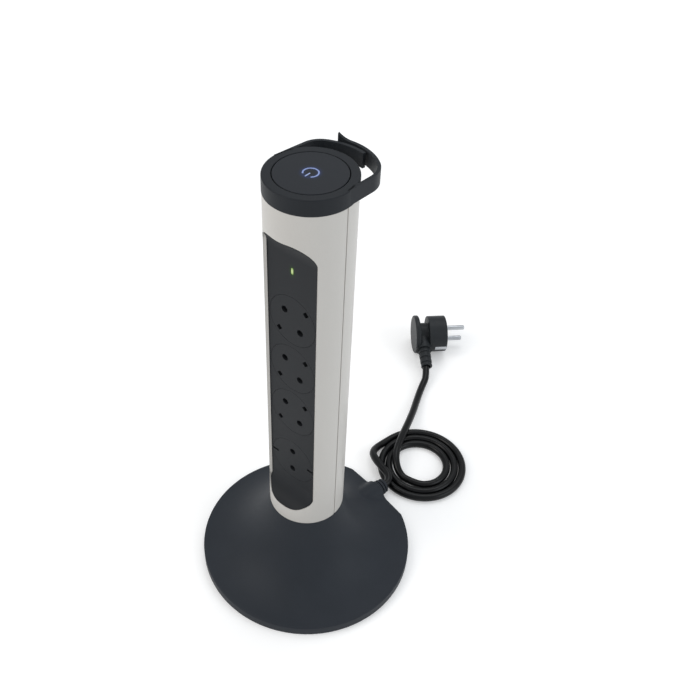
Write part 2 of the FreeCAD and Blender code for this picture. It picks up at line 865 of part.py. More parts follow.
def column_shells():
    """Front and rear halves of the column and the screws between them."""
    front = half_shell("front", -1, (-20, -160))
    block = box(
        "window_block", about("window_half"), ("-column_radius - 5 * over", "0"),
        ("window_bottom", "window_top"),
    )
    opening = rounded(
        "window_opening", block, "window_corner",
        lambda edge: abs(edge.tangentAt(edge.FirstParameter).y) > 0.9,
    )
    wedge = cylinder("window_wedge", "column_radius + 8 * over", "column_top", ("0", "0", "0"))
    bind(wedge, "Angle", "window_angle")
    wedge.Placement = Placement(Vector(), Rotation(UP, -90 - size("window_angle") / 2))
    window = common("window", opening, wedge)
    step = cut(
        "seam_step",
        box(
            "seam_block", about("column_radius + over"), ("-seam_step", "0"),
            ("dome_top - over", "column_top + over"),
        ),
        cylinder("seam_core", "column_radius - seam_step", "column_top * 2", ("0", "0", "0")),
    )
    pilots = []
    rear_cuts = []
    screws = []
    for number, (sign, height) in enumerate(
        ((-1, "shell_boss_low"), (1, "shell_boss_low"), (-1, "shell_boss_high"), (1, "shell_boss_high"))
    ):
        x = f"{sign} * shell_boss_place"
        pilots.append(cylinder(f"front_pilot_{number}", "shell_screw_radius + screw_gap", "shell_boss_reach",
                               (x, "-shell_boss_reach + shell_pilot_end", height), "y"))
        rear_cuts.append(cylinder(f"rear_hole_{number}", "shell_screw_radius + screw_gap", "column_radius",
                                  (x, "0", height), "y"))
        rear_cuts.append(cylinder(f"rear_bore_{number}", "shell_head_radius + screw_gap", "column_radius",
                                  (x, "shell_boss_reach", height), "y"))
        head = cylinder(
            f"shell_head_{number}", "shell_head_radius", "shell_head_thick",
            (x, "shell_boss_reach", height), "y",
        )
        shank = cylinder(
            f"shell_shank_{number}", "shell_screw_radius", "shell_boss_reach * 2 - shell_screw_end",
            (x, "shell_screw_end - shell_boss_reach", height), "y",
        )
        screws.append(join(f"shell_screw_{number}", head, shank))
    body = cut("front_body", front, window, step, snap_pocket("front_pocket", -90), *pilots)
    piece("front_shell", rounded("front_eased", body, "window_round", on_window))
    rear = half_shell("rear", 1, (45, 135))
    piece("rear_shell", cut("rear_body", rear, snap_pocket("rear_pocket", 90), *rear_cuts))
    piece("column_screws", group("column_screw_set", screws))


def socket_panel():
    """Dark panel behind the window, with a ramp at each end."""
    low = "window_bottom - panel_overlap"
    high = "window_top + panel_overlap"
    core = cylinder("panel_core", INSIDE, f"{high} - ({low})", ("0", "0", low))
    fill = common(
        "panel_fill",
        rounded("fill_rounded", box(
            "fill_block", about("window_half - fill_gap"), ("-column_radius - over", "0"),
            ("window_bottom + fill_gap", "window_top - fill_gap"),
        ), "fill_corner", lambda edge: abs(edge.tangentAt(edge.FirstParameter).y) > 0.9),
        box(
            "fill_width", about("window_half - fill_inset"), ("-column_radius - over", "0"),
            ("0", "column_top"),
        ),
        cylinder("fill_outside", "column_radius - fill_drop", "column_top"),
    )
    back = box("panel_back", about("column_radius"), ("panel_thick - panel_face", "column_radius"),
               (f"{low} - over", f"{high} + over"))
    face = box("panel_recess", about("column_radius"), ("-column_radius - 2 * over", "-panel_face"),
               ("window_bottom + panel_margin", "window_top - panel_margin"))
    ramps = []
    for end, height in (("low", "window_bottom + panel_margin"), ("high", "window_top - panel_margin")):
        ramps.append(cylinder(f"ramp_{end}", "ramp_radius", "column_radius * 2",
                              ("-column_radius", "-panel_face - ramp_radius", height), "x"))
    holes = [
        cylinder(
            f"panel_hole_{number}", "disc_radius + disc_gap", "column_radius",
            ("0", "-column_radius", middle), "y",
        )
        for number, middle, _ in SOCKETS
    ]
    slot = box("light_slot", about("light_width / 2 + light_gap"), ("-column_radius", "0"),
               ("led_height - light_length / 2 - light_gap", "led_height + light_length / 2 + light_gap"))
    piece(
        "socket_panel",
        cut("panel_body", join("panel_solid", core, fill), back, face, *ramps, *holes, slot),
    )


def socket_disc(number, middle, pins):
    """Sprung disc of one socket, with its shutter and its spring."""
    name = f"disc_{number}"
    face = "-panel_face"
    rear = f"{face} + disc_thick"
    plate = cylinder(f"{name}_plate", "disc_radius", "disc_thick", ("0", face, middle), "y")
    skirt = ring(f"{name}_skirt", "disc_radius", "disc_radius - disc_skirt_wall", "disc_thick + disc_skirt",
                 ("0", face, middle), "y")
    hub = cylinder(f"{name}_hub", "hub_radius", "disc_thick + shutter_gap * 2 + shutter_thick + hub_flange",
                   ("0", face, middle), "y")
    flange = cylinder(f"{name}_flange", "hub_radius + hub_flange", "hub_flange",
                      ("0", f"{rear} + shutter_gap * 2 + shutter_thick", middle), "y")
    tools = [cylinder(f"{name}_seat", "hub_bore", "column_radius", ("0", rear, middle), "y")]
    for side in (0, 180):
        turn = f"({pins + side} * 1 deg)"
        tools.append(cylinder(
            f"{name}_pin_{side}", "pin_hole", "column_radius",
            (f"pin_space / 2 * cos{turn}", "-column_radius", f"{middle} + pin_space / 2 * sin{turn}"), "y",
        ))
        earth = pins - 90 + side
        if pins == 90:
            span = ("slot_start", "disc_radius + over", "slot_width / 2")
        else:
            span = ("notch_place - notch_size / 2", "notch_place + notch_size / 2", "notch_size / 2")
        tools.append(key(f"{name}_notch_{side}", middle, earth, *span, ("-column_radius", "0")))
    piece(f"socket_{name}", cut(f"{name}_body", join(f"{name}_solid", plate, skirt, hub, flange), *tools))
    shutter_parts = [cylinder(
        f"{name}_ring", "shutter_ring", "shutter_thick", ("0", f"{rear} + shutter_gap", middle), "y",
    )]
    for side in (0, 180):
        lobe = cylinder(
            f"{name}_lobe_{side}", "shutter_reach", "shutter_thick",
            ("0", f"{rear} + shutter_gap", middle), "y",
        )
        bind(lobe, "Angle", "shutter_span")
        lobe.Placement.Rotation = Rotation(
            Vector(0, 1, 0), -(pins + side + size("shutter_span") / 2),
        ) * ALONG["y"]
        shutter_parts.append(lobe)
    eye = cylinder(
        f"{name}_eye", "hub_radius + shutter_fit", "column_radius", ("0", "-column_radius", middle), "y",
    )
    piece(f"shutter_{number}", cut(f"{name}_shutter", join(f"{name}_shutter_solid", *shutter_parts), eye))


def socket_carrier():
    """Moulding behind the panel that guides the discs and holds the contacts."""
    low = "socket_4 - carrier_low"
    high = "socket_1 + carrier_high"
    floor_front = "-carrier_floor / 2"
    floor_back = "carrier_floor / 2"
    front = "panel_thick - panel_face + seat_gap"
    solids = [box("carrier_block", about("carrier_half"), (front, "carrier_back"), (low, high))]
    room = box("carrier_room", about("carrier_half - carrier_side"), (floor_back, "carrier_back + over"),
               (f"{low} + carrier_wall", f"{high} - carrier_wall"))
    for side in (-1, 1):
        for depth, y in (
            ("front", (front, f"{front} + leg_size")),
            ("rear", ("carrier_back - leg_size", "carrier_back")),
        ):
            x = ("leg_place", "leg_place + leg_size") if side > 0 else ("-leg_place - leg_size", "-leg_place")
            solids.append(box(
                f"carrier_leg_{depth}_{side}", x, y, ("dome_top + close_gap + foot_collar", low),
            ))
        x = ("lug_place", "lug_place + lug_width") if side > 0 else ("-lug_place - lug_width", "-lug_place")
        solids.append(box(f"carrier_lug_{side}", x, (
            "-board_front - lug_back", "-board_front - lug_back + lug_depth",
        ),
                          (high, f"{high} + lug_height")))
    pockets = []
    tools = [box("board_slot", about("board_half + board_gap"),
                 ("-board_front - board_gap", "board_thick - board_front + board_gap"),
                 (f"{high} + board_lift", f"{high} + lug_height + over"))]
    for number, middle, pins in SOCKETS:
        tools.append(cylinder(f"well_{number}", "disc_radius + well_gap", "column_radius",
                              ("0", f"{floor_front} - column_radius", middle), "y"))
        pockets.append(cylinder(f"pocket_{number}", "spring_pocket + pocket_wall", "pocket_depth",
                                ("0", floor_back, middle), "y"))
        tools.append(cylinder(
            f"pocket_bore_{number}", "spring_pocket", "pocket_depth + carrier_floor - pocket_floor",
            ("0", floor_front, middle), "y",
        ))
        for side in (0, 180):
            turn = f"({pins + side} * 1 deg)"
            tools.append(cylinder(
                f"floor_hole_{number}_{side}", "floor_hole", "carrier_floor * 2",
                (
                    f"pin_space / 2 * cos{turn}", "-carrier_floor",
                    f"{middle} + pin_space / 2 * sin{turn}",
                ), "y",
            ))
            turn = f"({pins - 90 + side} * 1 deg)"
            x = f"notch_place * cos{turn}"
            z = f"({middle} + notch_place * sin{turn})"
            tools.append(box(
                f"clip_hole_{number}_{side}", (
                    f"{x} - clip_size / 2 - slot_gap", f"{x} + clip_size / 2 + slot_gap",
                ),
                ("-carrier_floor", "carrier_floor"),
                (f"{z} - clip_size / 2 - slot_gap", f"{z} + clip_size / 2 + slot_gap"),
            ))
    for side in (-1, 1):
        x = f"{side} * (strip_place + strip_width / 2)"
        tools.append(box(f"tail_hole_{side}", (
            f"{x} - strip_width / 2 - slot_gap", f"{x} + strip_width / 2 + slot_gap",
        ),
                         (
                             "strip_back - slot_gap", "strip_back + strip_thick + slot_gap",
                         ), (f"{low} - over", f"{low} + tail_hole_depth")))
    tools.append(box("earth_hole", about("earth_tail + slot_gap"),
                     (
                         "earth_back - slot_gap", "earth_back + strip_thick + slot_gap",
                     ), (f"{low} - over", f"{low} + tail_hole_depth")))
    body = cut("carrier_hollow", join("carrier_solid", *solids), room)
    piece("socket_carrier", cut("carrier_body", join("carrier_with_pockets", body, *pockets), *tools))
    cover = box(
        "carrier_cover", about("carrier_half"), ("carrier_back", "carrier_back + cover_thick"),
        (low, high),
    )
    piece("carrier_back_cover", cover)


def bus_bar(label, side, turn):
    """Strip with a sleeve for one pin of each socket."""
    x = (f"{side} * (strip_place + strip_width)", f"{side} * strip_place")
    if side > 0:
        x = x[::-1]
    y = ("strip_back", "strip_back + strip_thick")
    parts = [box(f"{label}_strip", x, y, ("socket_4 - carrier_low - block_socket", "socket_1 + strip_end"))]
    bores = []
    for number, middle, pins in SOCKETS:
        angle = f"({pins + turn} * 1 deg)"
        place = (
            f"pin_space / 2 * cos{angle}", "carrier_floor / 2 + seat_gap",
            f"{middle} + pin_space / 2 * sin{angle}",
        )
        parts.append(cylinder(f"{label}_sleeve_{number}", "sleeve_radius", "sleeve_length", place, "y"))
        bores.append(cylinder(f"{label}_bore_{number}", "sleeve_bore", "sleeve_length", place, "y"))
        if pins == 90:
            bridge = (x[1], "0") if side < 0 else ("0", x[0])
            z = f"({middle} + pin_space / 2 * sin{angle})"
            parts.append(box(
                f"{label}_bridge", bridge, y, (f"{z} - bridge_width / 2", f"{z} + bridge_width / 2"),
            ))
    piece(label, cut(f"{label}_body", join(f"{label}_solid", *parts), *bores))


def earth_bar():
    """Pair of strips with the clips that touch the sides of a plug."""
    y = ("earth_back", "earth_back + strip_thick")
    low = "socket_4 - earth_low"
    parts = [
        box("earth_cross", about("earth_place + strip_width"), y, (low, f"{low} + bridge_width")),
        box(
            "earth_tail_strip", about("earth_tail"), y,
            ("socket_4 - carrier_low - block_socket", f"{low} + bridge_width"),
        ),
    ]
    for side in (-1, 1):
        x = (
            "earth_place", "earth_place + strip_width",
        ) if side > 0 else ("-earth_place - strip_width", "-earth_place")
        parts.append(box(
            f"earth_strip_{side}", x, y,
            (low, f"socket_1 + {side} * notch_place * cos(45 * 1 deg) + clip_size / 2"),
        ))
    for number, middle, pins in SOCKETS:
        for side in (0, 180):
            turn = f"({pins - 90 + side} * 1 deg)"
            x = f"(notch_place * cos{turn})"
            z = f"({middle} + notch_place * sin{turn})"
            tall = "clip_thin / 2" if pins == 90 else "clip_size / 2"
            parts.append(box(
                f"earth_clip_{number}_{side}", (f"{x} - clip_size / 2", f"{x} + clip_size / 2"),
                ("clip_recess - panel_face", y[1]), (f"{z} - {tall}", f"{z} + {tall}"),
            ))
            reach = (
                f"{x} - clip_size / 2", "earth_place + over",
            ) if side == 0 else ("-earth_place - over", f"{x} + clip_size / 2")
            if pins != 90:
                parts.append(box(f"earth_tab_{number}_{side}", reach, y, (f"{z} - {tall}", f"{z} + {tall}")))
    piece("earth_busbar", join("earth_body", *parts))


def terminal_block():
    """Block under the carrier where the cord meets the bus bars."""
    top = "socket_4 - carrier_low"
    block = box(
        "terminal_body", about("block_half"), ("block_front", "carrier_back"),
        (f"{top} - block_height", top),
    )
    tools = []
    for side in (-1, 1):
        x = f"{side} * (strip_place + strip_width / 2)"
        tools.append(box(f"terminal_slot_{side}", (
            f"{x} - strip_width / 2 - seat_gap", f"{x} + strip_width / 2 + seat_gap",
        ),
                         (
                             "strip_back - seat_gap", "strip_back + strip_thick + seat_gap",
                         ), (f"{top} - block_socket - seat_gap", f"{top} + over")))
        tools.append(cylinder(
            f"terminal_screw_{side}", "terminal_screw_radius", "terminal_screw_depth",
            (x, "block_front", f"{top} - terminal_screw_drop"), "y",
        ))
    tools.append(box("terminal_slot_middle", about("earth_tail + seat_gap"), (
        "earth_back - seat_gap", "earth_back + strip_thick + seat_gap",
    ),
                     (f"{top} - block_socket - seat_gap", f"{top} + over")))
    piece("terminal_block", cut("terminal_cut", block, *tools))


def surge_board():
    """Circuit board with its surge arresters and the indicator lamp."""
    low = "socket_1 + carrier_high + board_lift"
    front = "-board_front"
    board = box(
        "board_plate", about("board_half"), (front, f"{front} + board_thick"),
        (low, f"{low} + board_height"),
    )
    lamp = cylinder(
        "board_lamp", "led_radius", "led_length", ("0", f"{front} - led_length", "led_height"), "y",
    )
    parts = [board, lamp]
    for number in (-1, 0, 1):
        parts.append(cylinder(
            f"arrester_{number + 1}", "arrester_radius", "arrester_thick",
            (f"{number} * arrester_space", f"{front} - arrester_thick", f"{low} + arrester_lift"), "y",
        ))
    behind_board = "board_thick - board_front"
    parts.append(box(
        "board_capacitor", about("capacitor_half"), (behind_board, "capacitor_back"),
        (f"{low} + capacitor_low", f"{low} + capacitor_high"),
    ))
    parts.append(cylinder(
        "board_fuse", "fuse_radius", "fuse_length", (
            "-fuse_length / 2", "fuse_back", f"{low} + fuse_lift",
        ), "x",
    ))
    parts.append(box(
        "fuse_feet", about("capacitor_half"), (behind_board, "fuse_foot_back"),
        (f"{low} + fuse_lift - fuse_foot", f"{low} + fuse_lift + fuse_foot"),
    ))
    piece("surge_board", join("board_body", *parts))
    y = ("-panel_face", "light_depth - panel_face")
    z = ("led_height - light_length / 2", "led_height + light_length / 2")
    rod = box("light_rod", about("light_width / 2"), y, z)
    back = "panel_thick - panel_face + close_gap"
    flange = box("light_flange", about("light_width / 2 + light_step"), (back, f"{back} + light_flange"),
                 (f"{z[0]} - light_step", f"{z[1]} + light_step"))
    piece("led_light_pipe", join("light_body", rod, flange))


def path_face(start, heading, moves, thick):
    """Make a band of even thickness along lines and arcs in plan."""
    point = Vector(*start, 0)
    angle = math.radians(heading)
    edges = []
    for radius, amount in moves:
        ahead = Vector(math.cos(angle), math.sin(angle), 0)
        if radius is None:
            after = point + ahead * amount
            edges.append(Part.makeLine(point, after))
        else:
            side = math.copysign(1, amount)
            left = Vector(-ahead.y, ahead.x, 0) * side
            middle = point + left * radius

            def on(part):
                turn = Rotation(UP, amount * part)
                return middle + turn.multVec(point - middle)

            after = on(1)
            edges.append(Part.Arc(point, on(0.5), after).toShape())
            angle += math.radians(amount)
        point = after
    band = Part.Wire(edges).makeOffset2D(thick / 2, 0, True, False, False)
    return band if band.ShapeType == "Face" else Part.Face(band), point, math.degrees(angle)


def loop_shape():
    """Cable loop behind the cap, with the fin at the end of its long arm."""
    low = size("column_top") + size("loop_lift")
    top = size("cap_top")
    thick = size("loop_thick")
    arm, end, heading = path_face(
        (size("loop_root"), 0), size("loop_heading"),
        ((None, size("loop_side")), (size("loop_corner"), size("loop_corner_turn")),
         (size("loop_back"), size("loop_back_turn"))), thick,
    )
    place = math.radians(size("tail_place"))
    root = size("loop_root")
    tail, _, _ = path_face(
        (root * math.cos(place), root * math.sin(place)), size("tail_heading"),
        ((None, size("tail_straight")), (size("tail_corner"), -size("tail_corner_turn")),
         (size("tail_back"), -size("tail_back_turn"))), thick,
    )
    for face in (arm, tail):
        face.translate(UP * low)
    bands = [face.extrude(UP * (top - low)) for face in (arm, tail)]
    radius = size("fin_radius")
    length = size("fin_length")
    ahead = Vector(math.cos(math.radians(heading)), math.sin(math.radians(heading)), 0)
    across = Vector(-ahead.y, ahead.x, 0)
    rise = radius - math.sqrt(radius ** 2 - length ** 2)
    fin = arm.extrude(UP * (top + rise - low))
    start = end - ahead * length
    keep = Part.makeBox(length * 2, length * 2, top)
    keep.Placement = Placement(start - across * length + UP * low, Rotation(ahead, across, UP, "ZXY"))
    bowl = Part.makeCylinder(radius, length * 2, start - across * length + UP * (top + radius), across)
    fin = fin.common(keep).cut(bowl)
    return bands[0].fuse([bands[1], fin]).removeSplitter()


def top_cap():
    """Ring at the top of the column, with the cable loop."""
    outer = cylinder("cap_outer", "cap_radius", "cap_top - column_top", ("0", "0", "column_top"))
    outer = rounded(
        "cap_rounded", outer, "cap_round", lambda edge: edge.BoundBox.ZMin > size("cap_top") - 0.1,
    )
    spigot = cylinder("cap_spigot", INSIDE, "spigot_depth + over", ("0", "0", "column_top - spigot_depth"))
    hole = cylinder("cap_hole", "button_hole", "column_top", ("0", "0", "column_top - 20 * over"))
    guide = cylinder("cap_guide", "guide_bore", "20 * over", ("0", "0", "cap_top - guide_step - 20 * over"))
    lugs = [snap_lug("cap_lug_front", -90), snap_lug("cap_lug_rear", 90)]
    loop = cut("loop_outside", shaped("cable_loop", loop_shape()),
               cylinder("loop_core", "cap_radius - 1.5", "column_top", ("0", "0", "20 * over")))
    piece("top_cap", cut("cap_body", join("cap_solid", outer, spigot, loop, *lugs), hole, guide))


def push_button():
    """Large round button, its symbol insert and its spring."""
    low = "cap_top - button_depth"
    top = cylinder("button_top", "button_radius", "button_thick", ("0", "0", "cap_top - button_thick"))
    skirt = ring(
        "button_skirt", "button_radius", "button_radius - button_skirt", "button_depth - over",
        ("0", "0", low),
    )
    flange = ring(
        "button_flange", "button_radius + button_flange", "button_radius - button_skirt",
        "button_flange_thick", ("0", "0", low),
    )
    stem = cylinder(
        "button_stem", "button_stem", "stem_length + over",
        ("0", "0", "cap_top - button_thick - stem_length"),
    )
    solid = join("button_solid", top, skirt, flange, stem)
    solid = rounded(
        "button_rounded", solid, "button_round", lambda edge: edge.BoundBox.ZMin > size("cap_top") - 0.1,
    )
    arc = ring("symbol_arc", "symbol_radius", "symbol_radius - symbol_line", "symbol_depth",
               ("0", "0", "cap_top - symbol_depth"))
    gap = cylinder(
        "symbol_gap", "symbol_radius + over", "symbol_depth * 3",
        ("0", "0", "cap_top - symbol_depth * 2"),
    )
    bind(gap, "Angle", "symbol_gap")
    gap.Placement.Rotation = Rotation(UP, -90 - size("symbol_gap") / 2)
    bar = box(
        "symbol_bar", about("symbol_line / 2"), ("-symbol_radius", "-bar_start"),
        ("cap_top - symbol_depth", "cap_top"),
    )
    symbol = join("symbol", cut("symbol_open", arc, gap), bar)
    piece("push_button", cut("button_body", solid, symbol))
    piece("power_symbol_light_guide", group("symbol_insert", [symbol]))


def switch_parts():
    """Bracket, switch, plunger and light board under the button."""
    low = "column_top - ledge_drop"
    plate = cylinder("bracket_plate", "lock_radius + seat_gap", "bracket_thick", ("0", "0", low))
    hole = box(
        "bracket_hole", about("switch_half + switch_gap"), about("switch_half + switch_gap"),
        (f"{low} - over", f"{low} + 2 * bracket_thick"),
    )
    top = f"{low} + bracket_thick"
    posts = []
    for number in range(3):
        x, y = polar("ring_post_circle", 120 * number)
        posts.append(cylinder(
            f"ring_post_{number}", "ring_post_radius", "ring_board_lift + over", (x, y, f"{top} - over"),
        ))
    piece("switch_bracket", cut("bracket_body", join("bracket_solid", plate, *posts), hole))
    body = box("switch_body", about("switch_half"), about("switch_half"), ("switch_low", "switch_top"))
    flange = box(
        "switch_flange", about("switch_flange_half"), about("switch_flange_half"),
        (top, f"{top} + switch_flange_thick"),
    )
    bore = cylinder("switch_bore", "plunger_radius + plunger_gap", "20 * over",
                    ("0", "0", "switch_top - plunger_depth - button_travel - plunger_room"))
    piece("power_switch", cut("switch_cut", join("switch_solid", body, flange), bore))
    tip = "cap_top - button_thick - stem_length"
    piece("switch_plunger", cylinder("plunger", "plunger_radius", f"{tip} - switch_top + plunger_depth",
                                     ("0", "0", "switch_top - plunger_depth")))
    board = ring(
        "ring_board", "ring_board_radius", "ring_board_bore", "ring_board_thick",
        ("0", "0", f"{top} + ring_board_lift"),
    )
    lamps = []
    for number in range(3):
        x, y = polar("ring_lamp_circle", 60 + 120 * number)
        lamps.append(cylinder(
            f"ring_lamp_{number}", "ring_lamp_radius", "ring_lamp_height",
            (x, y, f"{top} + ring_board_lift + ring_board_thick - ring_lamp_sink"),
        ))
    piece("button_light_board", join("ring_board_body", board, *lamps))


def biarc(start, start_along, end, end_along):
    """Join two points with two arcs that keep both directions."""
    reach = end - start
    both = start_along + end_along
    dot = start_along.dot(end_along)
    across = reach.dot(both)
    length = (math.sqrt(across ** 2 + 2 * (1 - dot) * reach.dot(reach)) - across) / (2 * (1 - dot))
    first = start + start_along * length
    second = end - end_along * length
    middle = (first + second) / 2
    along = (second - first).normalize()

    def arc(low, low_along, corner, high, high_along):
        turn = low_along.getAngle(high_along)
        chord_middle = (low + high) / 2
        top = corner - chord_middle
        crown = chord_middle + top.normalize() * ((high - low).Length / 2 * math.tan(turn / 4))
        return Part.Arc(low, crown, high).toShape()

    return [arc(start, start_along, first, middle, along), arc(middle, along, second, end, end_along)]


def swept(name, edges, radius):
    """Sweep a round section along tangent edges, and compare its volume."""
    wire = Part.Wire(edges)
    first = edges[0]
    start = first.valueAt(first.FirstParameter)
    along = first.tangentAt(first.FirstParameter)
    section = Part.Wire([Part.Circle(start, along, radius).toShape()])
    solid = wire.makePipeShell([section], True, False)
    expected = math.pi * radius ** 2 * wire.Length
    if abs(solid.Volume / expected - 1) > 0.005:
        raise RuntimeError(f"{name} does not have the volume of its tube")
    print(f"{name}: centreline {wire.Length:.1f} mm")
    return solid


def winding(place, along_place, turns):
    """Give biarcs along a winding, two for each quarter turn."""
    count = max(1, round(turns * 4))
    edges = []
    for number in range(count):
        low = turns * number / count
        high = turns * (number + 1) / count
        edges += biarc(place(low), along_place(low), place(high), along_place(high))
    return edges


def spring(name, radius, wire, turns, start, along, length):
    """Make a coil spring whose axis runs from a point along a direction."""
    turn = Rotation(UP, along)

    def place(part):
        angle = math.radians(360 * part)
        spot = Vector(
            radius * math.cos(angle), radius * math.sin(angle),
            wire / 2 + (length - wire) * part / turns,
        )
        return start + turn.multVec(spot)

    def along_place(part):
        angle = math.radians(360 * part)
        slope = (length - wire) / turns / (2 * math.pi)
        heading = Vector(-radius * math.sin(angle), radius * math.cos(angle), slope)
        return turn.multVec(heading.normalize())

    gap = (length - wire) / turns - wire
    print(f"{name}: gap between turns {gap:.2f} mm")
    return swept(name, winding(place, along_place, turns), wire / 2)


def route(name, corners):
    """Give straight runs joined by tangent arcs, and print the arc radii."""
    points = [Vector(*corner) for corner in corners]
    edges = []
    radii = []
    here = points[0]
    for before, corner, after in zip(points, points[1:], points[2:]):
        back = before - corner
        ahead = after - corner
        shorter = min(back.Length, ahead.Length)
        back.normalize()
        ahead.normalize()
        half = (math.pi - back.getAngle(ahead)) / 2
        cut_back = 0.45 * shorter
        radius = cut_back / math.tan(half)
        low = corner + back * cut_back
        high = corner + ahead * cut_back
        inward = (back + ahead).normalize()
        crown = corner + inward * (radius / math.cos(half) - radius)
        edges.append(Part.makeLine(here, low))
        edges.append(Part.Arc(low, crown, high).toShape())
        here = high
        radii.append(round(radius, 1))
    edges.append(Part.makeLine(here, points[-1]))
    print(f"{name}: arc radii {radii}")
    return edges


def springs():
    """Springs behind the discs and under the button."""
    rear = size("disc_thick") - size("panel_face")
    floor = size("carrier_floor") / 2 + size("pocket_depth") - size("pocket_floor")
    for number, middle, _ in SOCKETS:
        length = floor - rear - 2 * size("seat_gap")
        wire = spring(
            f"disc_spring_{number}", size("disc_spring_radius"), size("disc_spring_wire"),
            size("disc_spring_turns"),
            Vector(0, rear + size("seat_gap"), size(middle)), Vector(0, 1, 0), length,
        )
        piece(f"disc_spring_{number}", shaped(f"disc_coil_{number}", wire))
    low = size("switch_top")
    high = size("cap_top") - size("button_thick")
    wire = spring(
        "button_spring", size("button_spring_radius"), size("button_spring_wire"),
        size("button_spring_turns"),
        Vector(0, 0, low + size("seat_gap")), UP, high - low - 2 * size("seat_gap"),
    )
    piece("button_spring", shaped("button_coil", wire))


def gland_end():
    """Give the place and the heading where the cord leaves the gland."""
    reach = size("rear_flat") + 3 * (size("gland_rib") + size("gland_groove"))
    angle = math.radians(90 - size("cord_turn"))
    heading = Vector(math.cos(angle), math.sin(angle), 0)
    return heading * reach + UP * size("gland_height"), heading


def coil_radius(part):
    """Give the spiral's radius and how fast it shrinks, tighter near its end."""
    late = max(0, part - size("coil_turns") + size("coil_tighten_turns")) / size("coil_tighten_turns")
    radius = size("coil_radius") - size("coil_pitch") * part - size("coil_tighten") * late ** 2
    rate = size("coil_pitch") + 2 * size("coil_tighten") * late / size("coil_tighten_turns")
    return radius, rate / (2 * math.pi)


def coil_place(part):
    """Give a point on the spiral of the cord, wound clockwise from above."""
    angle = math.radians(size("coil_start") - 360 * part)
    radius, _ = coil_radius(part)
    middle = from_gland(size("coil_aside"), size("coil_away"), size("cord_radius"))
    return middle + Vector(radius * math.cos(angle), radius * math.sin(angle), 0)


def coil_heading(part):
    """Give the direction of the cord on its spiral."""
    angle = math.radians(size("coil_start") - 360 * part)
    radius, inward = coil_radius(part)
    return Vector(
        radius * math.sin(angle) - inward * math.cos(angle),
        -radius * math.cos(angle) - inward * math.sin(angle), 0,
    ).normalize()


# Corners of the cord's route, across and away from the end of the gland, with their height
COIL_LOW = 0.03
START_ROUTE = ((-4.05, 13.95, 11.4), (-17.95, 16.75, 11.2), (-26.95, 19.75, 10.4), (-33.75, 23.95, 7.2))
END_ROUTE = (
    (-8.25, 28.05, 4.4), (-13.65, 35.65, 8.2), (-18.65, 46.85, 11.3), (-29.45, 73.65, 11.2),
    (-43.0, 104.0, 3.4),
    (-51.45, 121.15, 3.4),
)


def from_gland(aside, away, height=0.0):
    """Give a point by its distances from the end of the gland."""
    place, _ = gland_end()
    return Vector(place.x + aside, place.y + away, height)


def corners_of(table):
    """Give the corners of a route that is measured from the end of the gland."""
    return [from_gland(*corner) for corner in table]


def mains_cord():
    """Mains cord from the base to the plug, with its coil on the floor."""
    radius = size("cord_radius")
    straight = size("coil_straight")
    first = coil_place(COIL_LOW)
    first_along = coil_heading(COIL_LOW)
    last_turn = size("coil_turns")
    last = coil_place(last_turn)
    last_along = coil_heading(last_turn)
    edges = [Part.makeLine(first - first_along * straight, first)]
    count = round((last_turn - COIL_LOW) * 4)
    for number in range(count):
        low = COIL_LOW + (last_turn - COIL_LOW) * number / count
        high = COIL_LOW + (last_turn - COIL_LOW) * (number + 1) / count
        edges += biarc(coil_place(low), coil_heading(low), coil_place(high), coil_heading(high))
    edges.append(Part.makeLine(last, last + last_along * straight))
    steps = [COIL_LOW + (last_turn - COIL_LOW) * number / 400 for number in range(401)]
    spots = [coil_place(part) for part in steps]
    gap = min(
        (spots[low] - spots[high]).Length for low in range(401) for high in range(low + 1, 401)
        if steps[high] - steps[low] > 0.5
    ) - 2 * radius
    print(f"mains_cord_coil: least gap to itself {gap:.2f} mm")
    if gap < 0.4:
        raise RuntimeError("The turns of the coil are too close")
    piece("mains_cord_coil", shaped("cord_coil", swept("mains_cord_coil", edges, radius)))
    exit_place, exit_along = gland_end()
    entry = first - first_along * straight
    start_points = [
        exit_place, exit_place + exit_along * size("start_straight"), *corners_of(START_ROUTE),
        entry - first_along * size("coil_entry"), entry,
    ]
    start_edges = route("mains_cord_start", start_points)
    piece("mains_cord_start", shaped("cord_start", swept("mains_cord_start", start_edges, radius)))
    leave = last + last_along * straight
    place = plug_place()
    boot = place.multVec(Vector(-size("boot_place"), -size("boot_end"), 0))
    outward = place.Rotation.multVec(Vector(0, -1, 0))
    inner = place.multVec(Vector(-size("boot_place"), -size("boot_start") - 1, 0))
    end_points = [
        leave, leave + last_along * size("coil_entry"), *corners_of(END_ROUTE),
        boot + outward * size("boot_straight"), inner,
    ]
    end_edges = route("mains_cord_end", end_points)
    piece("mains_cord_end", shaped("cord_end", swept("mains_cord_end", end_edges, radius)))
    reach = size("lead_place")
    rise = size("gland_height")
    far = size("rear_flat") + 3 * (size("gland_rib") + size("gland_groove"))
    bend = size("lead_bend")
    low = Vector(0, reach + bend, rise)
    high = Vector(0, reach, rise + bend)
    crown = Vector(0, reach + bend - bend * math.sin(math.pi / 4), rise + bend - bend * math.cos(math.pi / 4))
    inner_edges = [
        Part.makeLine(Vector(0, far, rise), low),
        Part.Arc(low, crown, high).toShape(),
        Part.makeLine(high, Vector(0, reach, size("lead_top"))),
    ]
    lead = shaped("lead", swept("inner_lead", inner_edges, radius))
    lead.Placement = Placement(Vector(), Rotation(UP, -size("cord_turn")))
    piece("inner_lead", lead)


